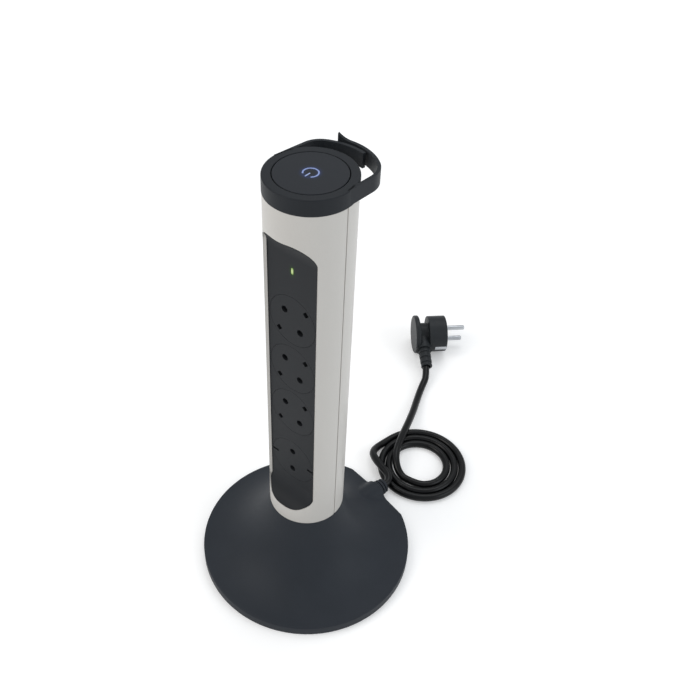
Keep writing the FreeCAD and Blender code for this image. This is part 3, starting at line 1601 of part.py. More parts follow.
def inner_wires():
    """Cores of the cord below the block, and the two leads of the switch."""
    radius = size("wire_radius")
    bottom = size("socket_4") - size("carrier_low") - size("block_height")
    angle = math.radians(90 - size("cord_turn"))
    middle = Vector(math.cos(angle), math.sin(angle), 0) * size("lead_place")
    close = size("core_close")
    wide = size("core_space")
    core_back = size("core_back")
    straight = size("core_straight")
    solids = []
    for side in (-1, 0, 1):
        corners = [
            (middle.x + side * close, middle.y, size("lead_top")),
            (middle.x + side * close, middle.y, size("lead_top") + straight),
            (side * wide, middle.y - core_back, bottom - straight),
            (side * wide, middle.y - core_back, bottom),
        ]
        solids.append(shaped(
            f"core_{side + 1}", swept(f"core_{side + 1}", route(f"core_{side + 1}", corners), radius),
        ))
    near = size("carrier_back")
    far = near + size("switch_wire_back")
    low = bottom + size("switch_wire_lift")
    high = size("switch_low")
    place = size("switch_wire_place")
    for side in (-1, 1):
        x = side * size("switch_wire_space")
        corners = [
            (x, near, low), (x, far, low), (x, far, high - size("switch_wire_drop")),
            (x, place, high - size("switch_wire_straight")), (x, place, high),
        ]
        name = f"switch_lead_{side + 1}"
        solids.append(shaped(name, swept(name, route(name, corners), radius)))
    piece("inner_wires", group("wire_set", solids))


def plug_place():
    """Give the place of the plug, on the floor with its pins level."""
    turn = Rotation(UP, size("plug_heading")) * Rotation(Vector(1, 0, 0), size("plug_roll"))
    return Placement(from_gland(size("plug_aside"), size("plug_away"), size("plug_disc_radius")), turn)


def plug_piece(label, item):
    """Name a part of the plug and put it in its place on the floor."""
    item.Placement = plug_place()
    return piece(label, item)


def mains_plug():
    """Mains plug with its side boot, built with its pins along +X."""
    body = cylinder("plug_body", "plug_body_radius", "plug_body_length", ("-plug_body_length", "0", "0"), "x")
    neck_start = "(-plug_body_length - plug_neck_length)"
    neck = cylinder("plug_neck", "plug_neck_radius", "plug_neck_length + over", (neck_start, "0", "0"), "x")
    disc = cylinder(
        "plug_disc", "plug_disc_radius", "plug_disc_thick",
        (f"{neck_start} - plug_disc_thick", "0", "0"), "x",
    )
    disc = rounded(
        "plug_disc_rounded", disc, "plug_disc_round",
        lambda edge: edge.Length > 1 and len(edge.Vertexes) == 1,
    )
    housing = cylinder(
        "boot_housing", "boot_housing", "boot_housing_end", ("-boot_place", "-boot_housing_end", "0"),
        "y",
    )
    inside = cylinder(
        "plug_inside", "plug_body_radius - plug_wall", "plug_body_length - plug_wall",
        ("plug_wall - plug_body_length", "0", "0"), "x",
    )
    neck_room = cylinder(
        "plug_neck_room", "plug_neck_radius - plug_wall", "plug_neck_length", (neck_start, "0", "0"),
        "x",
    )
    bore = cylinder("boot_bore", "boot_radius", "boot_end", ("-boot_place", "-boot_end", "0"), "y")
    slots = []
    for side in (-1, 1):
        y = ("plug_body_radius - plug_clip_thick", "plug_body_radius + over")
        if side < 0:
            y = (f"-({y[1]})", f"-({y[0]})")
        slots.append(box(
            f"plug_clip_slot_{side}", ("-plug_clip_length", "1"), y, about("plug_clip_width / 2"),
        ))
    cover = cut("plug_hollow", join("plug_solid", body, neck, disc, housing), inside, neck_room, bore, *slots)
    plug_piece("plug_cover", cover)
    face = cylinder(
        "insert_disc", "plug_body_radius - plug_wall - close_gap", "plug_insert_thick",
        ("-plug_insert_thick", "0", "0"), "x",
    )
    spacers = []
    holes = []
    pins = []
    for side in (-1, 1):
        z = f"{side} * pin_space / 2"
        root = ("-plug_pin_root", "0", z)
        spacers.append(cylinder(
            f"insert_boss_{side}", "plug_pin_radius + insert_wall", "plug_pin_root - insert_step", (
                "insert_step - plug_pin_root", "0", z,
            ), "x",
        ))
        holes.append(cylinder(f"insert_hole_{side}", "plug_root_radius", "plug_pin_root + over", root, "x"))
        pin = cylinder(f"plug_pin_{side}", "plug_pin_radius", "plug_pin_length", ("0", "0", z), "x")
        stem = cylinder(f"plug_root_{side}", "plug_root_radius", "plug_pin_root + over", root, "x")
        pins.append(rounded(
            f"plug_pin_round_{side}", join(f"plug_pin_whole_{side}", pin, stem), "plug_pin_round",
            lambda edge: edge.BoundBox.XMin > size("plug_pin_length") - 0.1,
        ))
    plug_piece("plug_insert", cut("insert_body", join("insert_solid", face, *spacers), *holes))
    plug_piece("plug_pins", group("pin_set", pins))
    clips = []
    for side in (-1, 1):
        y = ("plug_body_radius - plug_clip_thick", "plug_body_radius")
        if side < 0:
            y = (f"-({y[1]})", f"-({y[0]})")
        strip = box(f"plug_strip_{side}", ("-plug_clip_length", "0"), y, about("plug_clip_width / 2"))
        limit = cylinder(
            f"plug_strip_limit_{side}", "plug_body_radius", "plug_clip_length",
            ("-plug_clip_length", "0", "0"), "x",
        )
        clips.append(common(f"plug_clip_{side}", strip, limit))
    plug_piece("plug_earth_clip", group("clip_set", clips))
    boot = cylinder(
        "boot_body", "boot_radius", "boot_end - boot_start", ("-boot_place", "-boot_end", "0"), "y",
    )
    grooves = [cylinder(
        "boot_hole", "cord_radius + cord_gap", "boot_end", ("-boot_place", "-boot_end", "0"), "y",
    )]
    for number in range(3):
        at = ("-boot_place", f"-boot_end + boot_groove_start + {number} * boot_pitch", "0")
        grooves.append(ring(
            f"boot_groove_{number}", "boot_radius + over", "boot_radius - boot_groove",
            "boot_groove_width", at, "y",
        ))
    plug_piece("plug_strain_relief", cut("boot_cut", boot, *grooves))


base_cover()
base_plate()
base_weight()
rubber_feet()
base_screws()
cord_gland()
cord_clamp()
column_foot()
column_shells()
socket_panel()
for socket in SOCKETS:
    socket_disc(*socket)
socket_carrier()
bus_bar("live_busbar", -1, 0)
bus_bar("neutral_busbar", 1, 180)
earth_bar()
terminal_block()
surge_board()
top_cap()
push_button()
switch_parts()
springs()
mains_cord()
inner_wires()
mains_plug()

# Check and export
doc.recompute()
for item in doc.Objects:
    if {"Invalid", "Error"} & set(item.State):
        raise RuntimeError(f"{item.Name} has not been built: {item.State}")
for item in pieces:
    shape = item.Shape
    if shape.isNull() or not shape.isValid() or not shape.Solids:
        raise RuntimeError(f"{item.Label} is not a sound solid")
    shape.exportStep(f"parts/{item.Label}.step")
    print(f"{item.Label}: {len(shape.Solids)} solids, {shape.Volume:.0f} cubic mm")
print(f"{len(pieces)} parts")
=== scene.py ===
"""Looks of a tower extension lead with four sockets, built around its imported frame."""

import logging
import math
from dataclasses import dataclass, field
from enum import Enum
from typing import Callable, Iterable, Sequence

import bmesh
import bpy
from mathutils import Matrix, Vector


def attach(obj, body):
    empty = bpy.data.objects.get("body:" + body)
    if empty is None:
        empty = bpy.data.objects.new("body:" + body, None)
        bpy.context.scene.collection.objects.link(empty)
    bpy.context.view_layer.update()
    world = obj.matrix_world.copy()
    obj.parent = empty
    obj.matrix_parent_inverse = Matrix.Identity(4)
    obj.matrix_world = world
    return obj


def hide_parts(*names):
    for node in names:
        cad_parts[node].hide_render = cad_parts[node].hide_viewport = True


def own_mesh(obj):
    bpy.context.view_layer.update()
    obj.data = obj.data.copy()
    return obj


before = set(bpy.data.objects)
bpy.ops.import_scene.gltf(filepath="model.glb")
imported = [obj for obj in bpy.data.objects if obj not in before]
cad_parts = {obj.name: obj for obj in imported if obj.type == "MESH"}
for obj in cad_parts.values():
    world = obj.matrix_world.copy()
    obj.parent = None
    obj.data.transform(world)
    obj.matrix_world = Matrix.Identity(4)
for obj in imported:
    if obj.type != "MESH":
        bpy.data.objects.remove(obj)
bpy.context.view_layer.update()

LOG = logging.getLogger("tower_lead")
MM = 0.001
BEYOND = 400.0
WELD = 1e-7
Colour = tuple[float, float, float]
Point = tuple[float, float, float]
Pair = tuple[float, float]
Mesh = bmesh.types.BMesh
Piece = bpy.types.Object
Material = bpy.types.Material
Socket = bpy.types.NodeSocket


class Slot(Enum):
    """Material slot names that the finishes carry."""

    DARK = "dark_plastic"
    LIGHT = "light_plastic"
    PANEL = "panel_plastic"
    INNER = "inner_plastic"
    CORD = "cord_rubber"
    FOOT = "foot_rubber"
    STEEL = "steel"
    BRASS = "brass"
    BOARD = "board"
    WIRES = "wire_cover"
    GREEN = "lamp_green"
    BLUE = "lamp_blue"


class Body(Enum):
    """Bodies that the pieces ride on."""

    TOWER = "tower"
    BUTTON = "push_button"


def tint(code: str) -> Colour:
    """Turn an sRGB code such as 36393d into linear red, green and blue."""
    values = [int(code[at:at + 2], 16) / 255 for at in (0, 2, 4)]
    linear = [v / 12.92 if v <= 0.04045 else ((v + 0.055) / 1.055) ** 2.4 for v in values]
    return linear[0], linear[1], linear[2]


# Shader graphs


def _operator(operation: str, swapped: bool = False) -> Callable[["Wire", "Wire | float"], "Wire"]:
    """Give a method that adds one Math node, with the other value first if swapped."""
    def method(wire: "Wire", other: "Wire | float") -> "Wire":
        """Work out one value from two."""
        return wire.math(operation, *((other, wire) if swapped else (wire, other)))

    return method


class Wire:
    """One shader value that can be used in an expression."""

    def __init__(self, graph: "Graph", socket: Socket) -> None:
        """Hold the graph and the output socket."""
        self.graph = graph
        self.socket = socket

    def math(self, operation: str, *values: "Wire | float") -> "Wire":
        """Add one Math node with its inputs in order."""
        node = self.graph.node("Math", dict(enumerate(values)), operation=operation)
        return Wire(self.graph, node.outputs[0])

    __add__ = __radd__ = _operator("ADD")
    __sub__ = _operator("SUBTRACT")
    __rsub__ = _operator("SUBTRACT", swapped=True)
    __mul__ = __rmul__ = _operator("MULTIPLY")
    __truediv__ = _operator("DIVIDE")
    __rtruediv__ = _operator("DIVIDE", swapped=True)
    __pow__ = _operator("POWER")
    __rpow__ = _operator("POWER", swapped=True)
    most = _operator("MAXIMUM")

    def __abs__(self) -> "Wire":
        """Drop the sign."""
        return self.math("ABSOLUTE", self)

    def ramp(self, low: float, high: float) -> "Wire":
        """Rise smoothly from 0 at low to 1 at high."""
        sockets = {"Value": self, "From Min": low, "From Max": high}
        node = self.graph.node("MapRange", sockets, interpolation_type="SMOOTHSTEP")
        return Wire(self.graph, node.outputs[0])


class Graph:
    """Node tree of one material or of the world."""

    def __init__(self, owner: Material | bpy.types.World) -> None:
        """Empty the tree of its owner."""
        self.owner = owner
        owner.use_nodes = True
        self.tree = owner.node_tree
        self.tree.nodes.clear()

    def node(self, kind: str, sockets: dict | None = None, **settings: object) -> bpy.types.Node:
        """Add one node.

        Args:
            kind: Type name of the node, without its prefix.
            sockets: Values or links by socket name or number.
            settings: Properties that are set before any socket.

        Returns:
            The new node.
        """
        made = self.tree.nodes.new("ShaderNode" + kind)
        for key, value in settings.items():
            setattr(made, key, value)
        for key, value in (sockets or {}).items():
            value = value.socket if isinstance(value, Wire) else value
            if isinstance(value, Socket):
                self.tree.links.new(value, made.inputs[key])
            else:
                made.inputs[key].default_value = value
        return made

    def place(self) -> Socket:
        """Give the point on the object, in metres."""
        return self.node("TexCoord").outputs["Object"]

    def axes(self) -> tuple[Wire, Wire, Wire]:
        """Give x, y and z of the point on the object."""
        split = self.node("SeparateXYZ", {0: self.place()})
        return tuple(Wire(self, split.outputs[at]) for at in range(3))

    def ray(self, kind: str) -> Wire:
        """Give 1 for rays of one kind, such as Camera or Glossy."""
        return Wire(self, self.node("LightPath").outputs[f"Is {kind} Ray"])

    def noise(self, size: float, detail: float = 2.0, stretch: Point = (1, 1, 1)) -> Wire:
        """Give a noise round 0.5 with features of a size in millimetres, drawn out on each axis."""
        scale = [1 / (size * MM * side) for side in stretch]
        spot = self.node("Mapping", {"Vector": self.place(), "Scale": scale})
        made = self.node("TexNoise", {"Vector": spot.outputs[0], "Scale": 1.0, "Detail": detail})
        return Wire(self, made.outputs["Fac"])

    def blend(self, factor: Wire | float, low: Colour | Socket, high: Colour) -> Socket:
        """Mix two colours by a factor."""
        low = (*low, 1) if isinstance(low, tuple) else low
        node = self.node("Mix", {0: factor, 6: low, 7: (*high, 1)}, data_type="RGBA")
        return node.outputs[2]

    def bump(self, height: Wire, depth: float, strength: float = 1.0) -> Socket:
        """Raise the surface by a height in steps of a depth in millimetres."""
        node = self.node("Bump", {"Strength": strength, "Distance": depth * MM, "Height": height})
        return node.outputs[0]

    def close(self, shader: bpy.types.Node, output: str = "OutputMaterial") -> Material:
        """Join a shader to the output and give the tree's owner."""
        self.node(output, {"Surface": shader.outputs[0]})
        return self.owner

    def surface(self, sockets: dict) -> Material:
        """Close the tree with one principled surface."""
        return self.close(self.node("BsdfPrincipled", sockets))


def shade(colour: Colour, amount: float) -> Colour:
    """Scale a colour's brightness."""
    return colour[0] * amount, colour[1] * amount, colour[2] * amount


@dataclass(frozen=True)
class Look:
    """Name, slot and main colour of a material."""

    name: str
    slot: Slot
    code: str

    def graph(self) -> Graph:
        """Start the material."""
        return Graph(bpy.data.materials.new(self.name))


@dataclass(frozen=True)
class Moulded(Look):
    """Moulded plastic or rubber with a fine eroded grain."""

    roughness: float
    mottle: float = 0.05
    polish: float = 0.05
    grain: float = 0.45
    grain_depth: float = 0.012
    drag: Point = (1, 1, 1)
    specular: float = 0.5
    glow: "Glow | None" = None

    def material(self) -> Material:
        """Build the plastic's material."""
        graph = self.graph()
        colour = tint(self.code)
        cloud = graph.noise(18.0, 3.0, self.drag)
        fine = graph.noise(self.grain, 2.0)
        speck = graph.noise(self.grain * 2.3, 1.0)
        tone = (cloud * 0.6 + speck * 0.4).ramp(0.3, 0.7)
        rough = (cloud - 0.5) * self.polish * 2 + (speck - 0.5) * self.polish + self.roughness
        sockets = {
            "Base Color": graph.blend(tone, shade(colour, 1 - self.mottle), shade(colour, 1 + self.mottle)),
            "Roughness": rough,
            "Specular IOR Level": self.specular,
            "Normal": graph.bump(fine, self.grain_depth, 0.6),
        }
        if self.glow:
            dark = self.glow.mask(graph) * self.glow.darkens
            sockets["Base Color"] = graph.blend(dark, sockets["Base Color"], (0.0, 0.0, 0.0))
            sockets["Emission Color"] = self.glow.colour(graph)
            sockets["Emission Strength"] = 1.0
        return graph.surface(sockets)


@dataclass(frozen=True)
class Glow:
    """Light that a lamp spills on the plastic round it."""

    code: str
    middle: Point
    spread: Point
    ring: float
    level: float
    darkens: float = 0.0

    def mask(self, graph: Graph) -> Wire:
        """Give how strong the spilt light is over the surface."""
        x, y, z = (self._square(*part) for part in zip(graph.axes(), self.middle, self.spread))
        far = (x + y + z) ** 0.5
        away = abs(far - self.ring)
        return math.e ** (away * away * -1.0)

    def colour(self, graph: Graph) -> Socket:
        """Give the colour of the spilt light over the surface."""
        return graph.blend(self.mask(graph) * self.level, (0.0, 0.0, 0.0), tint(self.code))

    def _square(self, axis: Wire, at: float, wide: float) -> Wire:
        """Give the square of a scaled distance along one axis."""
        step = (axis - at * MM) / (wide * MM)
        return step * step


@dataclass(frozen=True)
class Lens(Look):
    """Clear plastic lit from behind."""

    edge_code: str
    level: float
    middle: Point
    reach: float

    def material(self) -> Material:
        """Build the lit lens."""
        graph = self.graph()
        x, y, z = (axis - at * MM for axis, at in zip(graph.axes(), self.middle))
        far = (x * x + y * y + z * z) ** 0.5 / (self.reach * MM)
        light = graph.blend(far.ramp(0.2, 1.0), tint(self.code), tint(self.edge_code))
        return graph.surface({
            "Base Color": light,
            "Roughness": graph.noise(1.2) * 0.1 + 0.25,
            "Emission Color": light,
            "Emission Strength": self.level,
        })


@dataclass(frozen=True)
class Metal(Look):
    """Rolled or turned metal."""

    roughness: float
    drag: Point = (1, 1, 12)

    def material(self) -> Material:
        """Build the metal's material."""
        graph = self.graph()
        colour = tint(self.code)
        lines = graph.noise(0.25, 3.0, self.drag)
        stain = graph.noise(9.0, 3.0).ramp(0.45, 0.75)
        return graph.surface({
            "Base Color": graph.blend(stain, colour, shade(colour, 0.8)),
            "Metallic": 1.0,
            "Roughness": lines * 0.2 + stain * 0.1 + (self.roughness - 0.1),
            "Normal": graph.bump(lines, 0.006, 0.5),
        })


@dataclass(frozen=True)
class CircuitBoard(Look):
    """Green lacquered board with copper tracks under the lacquer."""

    code: str = "1f5a34"
    track: str = "3f8a4c"

    def material(self) -> Material:
        """Build the board's material."""
        graph = self.graph()
        spot = graph.node("Mapping", {"Vector": graph.place(), "Scale": (500, 500, 500)})
        bricks = graph.node("TexBrick", {
            "Vector": spot.outputs[0], "Scale": 1.0,
            "Mortar Size": 0.12, "Brick Width": 2.6, "Row Height": 1.1,
        }, offset=0.37)
        lines = Wire(graph, bricks.outputs["Fac"])
        return graph.surface({
            "Base Color": graph.blend(lines, tint(self.code), tint(self.track)),
            "Roughness": graph.noise(2.0) * 0.15 + 0.25,
            "Normal": graph.bump(lines, 0.03, 0.6),
        })


SYMBOL_AT = (0, 0, 366.4)
LED_AT = (0, -16.5, 303.3)
SYMBOL_GLOW = Glow("2a4896", SYMBOL_AT, (1.6, 1.6, 50), 3.1, 0.16)
LED_GLOW = Glow("2f5a14", LED_AT, (1.5, 4.0, 3.0), 0.0, 0.7, 0.95)
PALETTE: dict[str, Material] = {}


class Finish(Enum):
    """Every finish of the lead."""

    BASE = Moulded("slate_base", Slot.DARK, "2a2e34", 0.50, specular=0.16, grain_depth=0.016)
    CAP = Moulded("slate_cap", Slot.DARK, "24272b", 0.48, specular=0.14)
    BUTTON = Moulded("slate_button", Slot.DARK, "24272c", 0.44, specular=0.16, glow=SYMBOL_GLOW)
    SHELL = Moulded("pale_shell", Slot.LIGHT, "c6c3be", 0.38, mottle=0.015, drag=(1, 1, 5))
    PANEL = Moulded("matt_panel", Slot.PANEL, "25272a", 0.50, specular=0.14, glow=LED_GLOW)
    DISC = Moulded("matt_disc", Slot.PANEL, "25272a", 0.48, specular=0.14)
    SHUTTER = Moulded("dark_shutter", Slot.PANEL, "0e0f10", 0.6)
    INNER = Moulded("inner_moulding", Slot.INNER, "d8d3c4", 0.5)
    CORD = Moulded(
        "cord_sheath", Slot.CORD, "07080a", 0.3,
        mottle=0.12, polish=0.06, grain=0.3, grain_depth=0.015, specular=0.25,
    )
    PLUG = Moulded("plug_rubber", Slot.CORD, "24272a", 0.46, mottle=0.08, specular=0.22)
    FOOT = Moulded("soft_foot", Slot.FOOT, "1c1c1d", 0.8, mottle=0.1, grain=0.8, grain_depth=0.05)
    BROWN = Moulded("brown_sleeve", Slot.WIRES, "6b4328", 0.42, grain=0.2)
    NEUTRAL = Moulded("blue_sleeve", Slot.WIRES, "2f5f9e", 0.42, grain=0.2)
    EARTH = Moulded("earth_sleeve", Slot.WIRES, "8aa53a", 0.42, grain=0.2)
    STEEL = Metal("zinc_steel", Slot.STEEL, "b9bcc0", 0.32)
    BRASS = Metal("rolled_brass", Slot.BRASS, "c9a24f", 0.3)
    BOARD = CircuitBoard("circuit_board", Slot.BOARD)
    GREEN = Lens("green_lens", Slot.GREEN, "b9cd88", "7d9c4e", 0.16, LED_AT, 2.6)
    BLUE = Lens("blue_lens", Slot.BLUE, "8f9fcb", "7387c2", 0.1, SYMBOL_AT, 8.0)

    def dress(self, piece: Piece) -> None:
        """Give a piece this finish."""
        piece.data.materials.clear()
        piece.data.materials.append(self.made())

    def dress_node(self, name: str) -> None:
        """Give a node of the frame this finish."""
        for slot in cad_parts[name].material_slots:
            slot.material = self.made()

    def made(self) -> Material:
        """Give the finish's material, built the first time."""
        if self.name not in PALETTE:
            PALETTE[self.name] = self.value.material()
        return PALETTE[self.name]


# Mesh tools


def stairs(*turns: float) -> list[Pair]:
    """Give the corners of a closed stepped profile from its places and radii in turn."""
    places, radii = turns[::2], turns[1::2]
    corners = zip(places, (radii[-1], *radii), radii)
    return [(place_on, radius) for place_on, before, after in corners for radius in (before, after)]


def lathe(profile: Sequence[Pair], steps: int = 128) -> Mesh:
    """Turn a closed profile of places along Z and radii, in millimetres, round that axis."""
    bm = bmesh.new()
    rim = [bm.verts.new((radius * MM, 0, along * MM)) for along, radius in profile]
    edges = [bm.edges.new((low, high)) for low, high in zip(rim, rim[1:] + rim[:1])]
    bmesh.ops.spin(
        bm, geom=rim + edges, cent=(0, 0, 0), axis=(0, 0, 1), angle=math.tau, steps=steps, use_merge=True,
    )
    bmesh.ops.remove_doubles(bm, verts=bm.verts, dist=WELD)
    bmesh.ops.recalc_face_normals(bm, faces=bm.faces)
    return bm


def rod(
    radius: float, length: float, start: Point = (0, 0, 0), along: Point = (0, 0, 1), steps: int = 64,
) -> Mesh:
    """Make a round rod from its first end, in millimetres."""
    bm = bmesh.new()
    bmesh.ops.create_cone(
        bm, cap_ends=True, segments=steps, radius1=radius * MM, radius2=radius * MM, depth=length * MM,
        matrix=Matrix.Translation((0, 0, length * MM / 2)),
    )
    turn = Vector(along).to_track_quat("Z", "Y").to_matrix().to_4x4()
    return place(bm, shift(*start) @ turn)


def block(low: Point, high: Point) -> Mesh:
    """Make a block from its lowest and highest corners in millimetres."""
    bm = bmesh.new()
    bmesh.ops.create_cube(bm, size=MM)
    bmesh.ops.scale(bm, vec=[top - bottom for bottom, top in zip(low, high)], verts=bm.verts)
    return place(bm, shift(*((bottom + top) / 2 for bottom, top in zip(low, high))))


def even(half: float, along: Pair, tall: Pair) -> Mesh:
    """Make a block of a half width between two places on Y and on Z."""
    return block((-half, along[0], tall[0]), (half, along[1], tall[1]))


def slab(half: float, along: Pair, tall: Pair, corner: float, steps: int = 28) -> Mesh:
    """Make an even block whose four edges along Y are rounded."""
    bm = even(half, along, tall)
    corners = [edge for edge in bm.edges if abs((edge.verts[0].co - edge.verts[1].co).y) > MM]
    bmesh.ops.bevel(
        bm, geom=corners, offset=corner * MM, affect="EDGES", segments=steps, profile=0.5, material=-1,
    )
    return bm


def draw_out(bm: Mesh, parts: list, step: Vector) -> list:
    """Extrude parts of a mesh by a step in metres and give the new ones."""
    made = bmesh.ops.extrude_face_region(bm, geom=parts)["geom"]
    moved = [part for part in made if isinstance(part, bmesh.types.BMVert)]
    bmesh.ops.translate(bm, vec=step, verts=moved)
    return made


def close_to(one: float, other: float, reach: float = 0.1) -> bool:
    """Tell whether two lengths in millimetres differ by less than a reach."""
    return abs(one - other) < reach


class Carve(Enum):
    """Ways to work one solid with another."""

    CUT = "DIFFERENCE"
    JOIN = "UNION"
    KEEP = "INTERSECT"


def carve(base: Mesh, way: Carve, *tools: Mesh) -> Mesh:
    """Work a solid with others, which are all freed."""
    items = [stand(f"work_{number}", bm) for number, bm in enumerate((base, *tools))]
    for tool in items[1:]:
        step = items[0].modifiers.new(tool.name, "BOOLEAN")
        step.object = tool
        step.operation = way.value
        step.solver = "EXACT"
    result = bmesh.new()
    result.from_object(items[0], bpy.context.evaluated_depsgraph_get())
    for item in items:
        mesh = item.data
        bpy.data.objects.remove(item)
        bpy.data.meshes.remove(mesh)
    bmesh.ops.remove_doubles(result, verts=result.verts, dist=WELD)
    bmesh.ops.dissolve_degenerate(result, dist=WELD, edges=result.edges)
    return result


def soften(
    bm: Mesh, width: float, steps: int = 2, pick: Callable[[Vector], bool] = lambda middle: True,
    angle: float = 40.0,
) -> Mesh:
    """Round the edges that are sharper than an angle.

    Args:
        bm: Solid to change.
        width: Width of the rounding in millimetres.
        steps: Steps across the rounding.
        pick: Test on the middle of an edge, in millimetres.
        angle: Least angle between the faces in degrees.

    Returns:
        The same solid.
    """
    limit = math.radians(angle)
    sharp = [
        edge for edge in bm.edges
        if len(edge.link_faces) == 2 and edge.calc_face_angle() > limit
        and pick((edge.verts[0].co + edge.verts[1].co) / 2 / MM)
    ]
    bmesh.ops.bevel(
        bm, geom=sharp, offset=width * MM, affect="EDGES", segments=steps, profile=0.5, material=-1,
        clamp_overlap=True,
    )
    return bm


def place(bm: Mesh, matrix: Matrix) -> Mesh:
    """Move a mesh to its place."""
    bmesh.ops.transform(bm, matrix=matrix, verts=bm.verts)
    return bm


def turned(angle: float, axis: str = "Z") -> Matrix:
    """Turn about an axis by an angle in degrees."""
    return Matrix.Rotation(math.radians(angle), 4, axis)


def shift(x: float, y: float, z: float) -> Matrix:
    """Move by millimetres."""
    return Matrix.Translation(Vector((x, y, z)) * MM)


def polar(radius: float, angle: float, z: float = 0.0) -> Point:
    """Give the point at a radius and an angle in degrees."""
    turn = math.radians(angle)
    return radius * math.cos(turn), radius * math.sin(turn), z


def stand(name: str, data: bpy.types.ID | Mesh) -> Piece:
    """Put a new object in the scene, made from its data or from a mesh that is freed."""
    if isinstance(data, Mesh):
        mesh = bpy.data.meshes.new(name)
        data.to_mesh(mesh)
        data.free()
        data = mesh
    item = bpy.data.objects.new(name, data)
    bpy.context.scene.collection.objects.link(item)
    return item


@dataclass
class Maker:
    """Turns meshes into pieces on the frame."""

    made: list[str] = field(default_factory=list)

    def _keep(self, item: Piece, finish: Finish, body: str, nodes: Iterable[str]) -> Piece:
        """Dress a piece and put it on its body in the place of nodes."""
        finish.dress(item)
        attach(item, body)
        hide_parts(*nodes)
        self.made.append(item.name)
        LOG.info("%s on %s", item.name, body)
        return item

    def piece(
        self, name: str, bm: Mesh, finish: Finish, *nodes: str,
        body: str = Body.TOWER.value, weighted: bool = True,
    ) -> Piece:
        """Make one piece from a mesh.

        Args:
            name: Name of the piece.
            bm: Its mesh, which is freed.
            finish: Its finish.
            nodes: Nodes of the frame that it stands for.
            body: Body that it rides on.
            weighted: Whether large faces keep their own normals.

        Returns:
            The new object.
        """
        for face in bm.faces:
            face.smooth = True
        for edge in bm.edges:
            edge.smooth = len(edge.link_faces) == 2 and edge.calc_face_angle() < math.radians(32)
        item = stand(name, bm)
        if weighted:
            item.modifiers.new("weighted", "WEIGHTED_NORMAL").keep_sharp = True
        return self._keep(item, finish, body, nodes)

    def merged(self, node: str, name: str, finish: Finish) -> Piece:
        """Make a piece from a merged copy of a node on the tower."""
        bm = bmesh.new()
        bm.from_mesh(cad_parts[node].data)
        bmesh.ops.remove_doubles(bm, verts=bm.verts, dist=WELD * 10)
        return self.piece(name, bm, finish, node, weighted=False)

    def line(self, name: str, points: Sequence[Point], radius: float, finish: Finish, *nodes: str) -> Piece:
        """Make a cord or a wire on the tower from one smooth open spline.

        Args:
            name: Name of the piece.
            points: Control points in millimetres.
            radius: Radius of the cord in millimetres.
            finish: Its finish.
            nodes: Nodes of the frame that it stands for.

        Returns:
            The curve object.
        """
        curve = bpy.data.curves.new(name, "CURVE")
        curve.dimensions = "3D"
        curve.bevel_depth = radius * MM
        curve.bevel_resolution = 6
        curve.resolution_u = 8
        curve.use_fill_caps = True
        spline = curve.splines.new("NURBS")
        spline.points.add(len(points) - 1)
        for point, spot in zip(spline.points, points):
            point.co = (*(Vector(spot) * MM), 1)
        spline.order_u = 3
        spline.use_endpoint_u = True
        return self._keep(stand(name, curve), finish, Body.TOWER.value, nodes)

    def spring(self, node: str, name: str) -> None:
        """Make a steel spring from a merged copy of a node, with a mesh of its own.

        Args:
            node: Node of the frame.
            name: Name of the piece.
        """
        item = self.merged(node, name, Finish.STEEL)
        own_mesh(item)

    def dress(self, finish: Finish, *names: str) -> None:
        """Give a finish to nodes whose own shape stays."""
        for name in names:
            finish.dress_node(name)
            LOG.info("%s: own shape, %s", name, finish.name.lower())


# Sub-assemblies


@dataclass(frozen=True)
class Lamp:
    """Soft square lamp with its place and size in metres."""

    name: str
    at: Point
    size: float
    power: float
    colour: Colour

    def hang(self, aim: Point) -> None:
        """Hang the lamp so that it shines at a point."""
        data = bpy.data.lights.new(self.name, "AREA")
        data.size = self.size
        data.energy = self.power
        data.color = self.colour
        way = Vector(aim) - Vector(self.at)
        turn = way.to_track_quat("-Z", "Y").to_matrix().to_4x4()
        stand(self.name, data).matrix_world = Matrix.Translation(self.at) @ turn


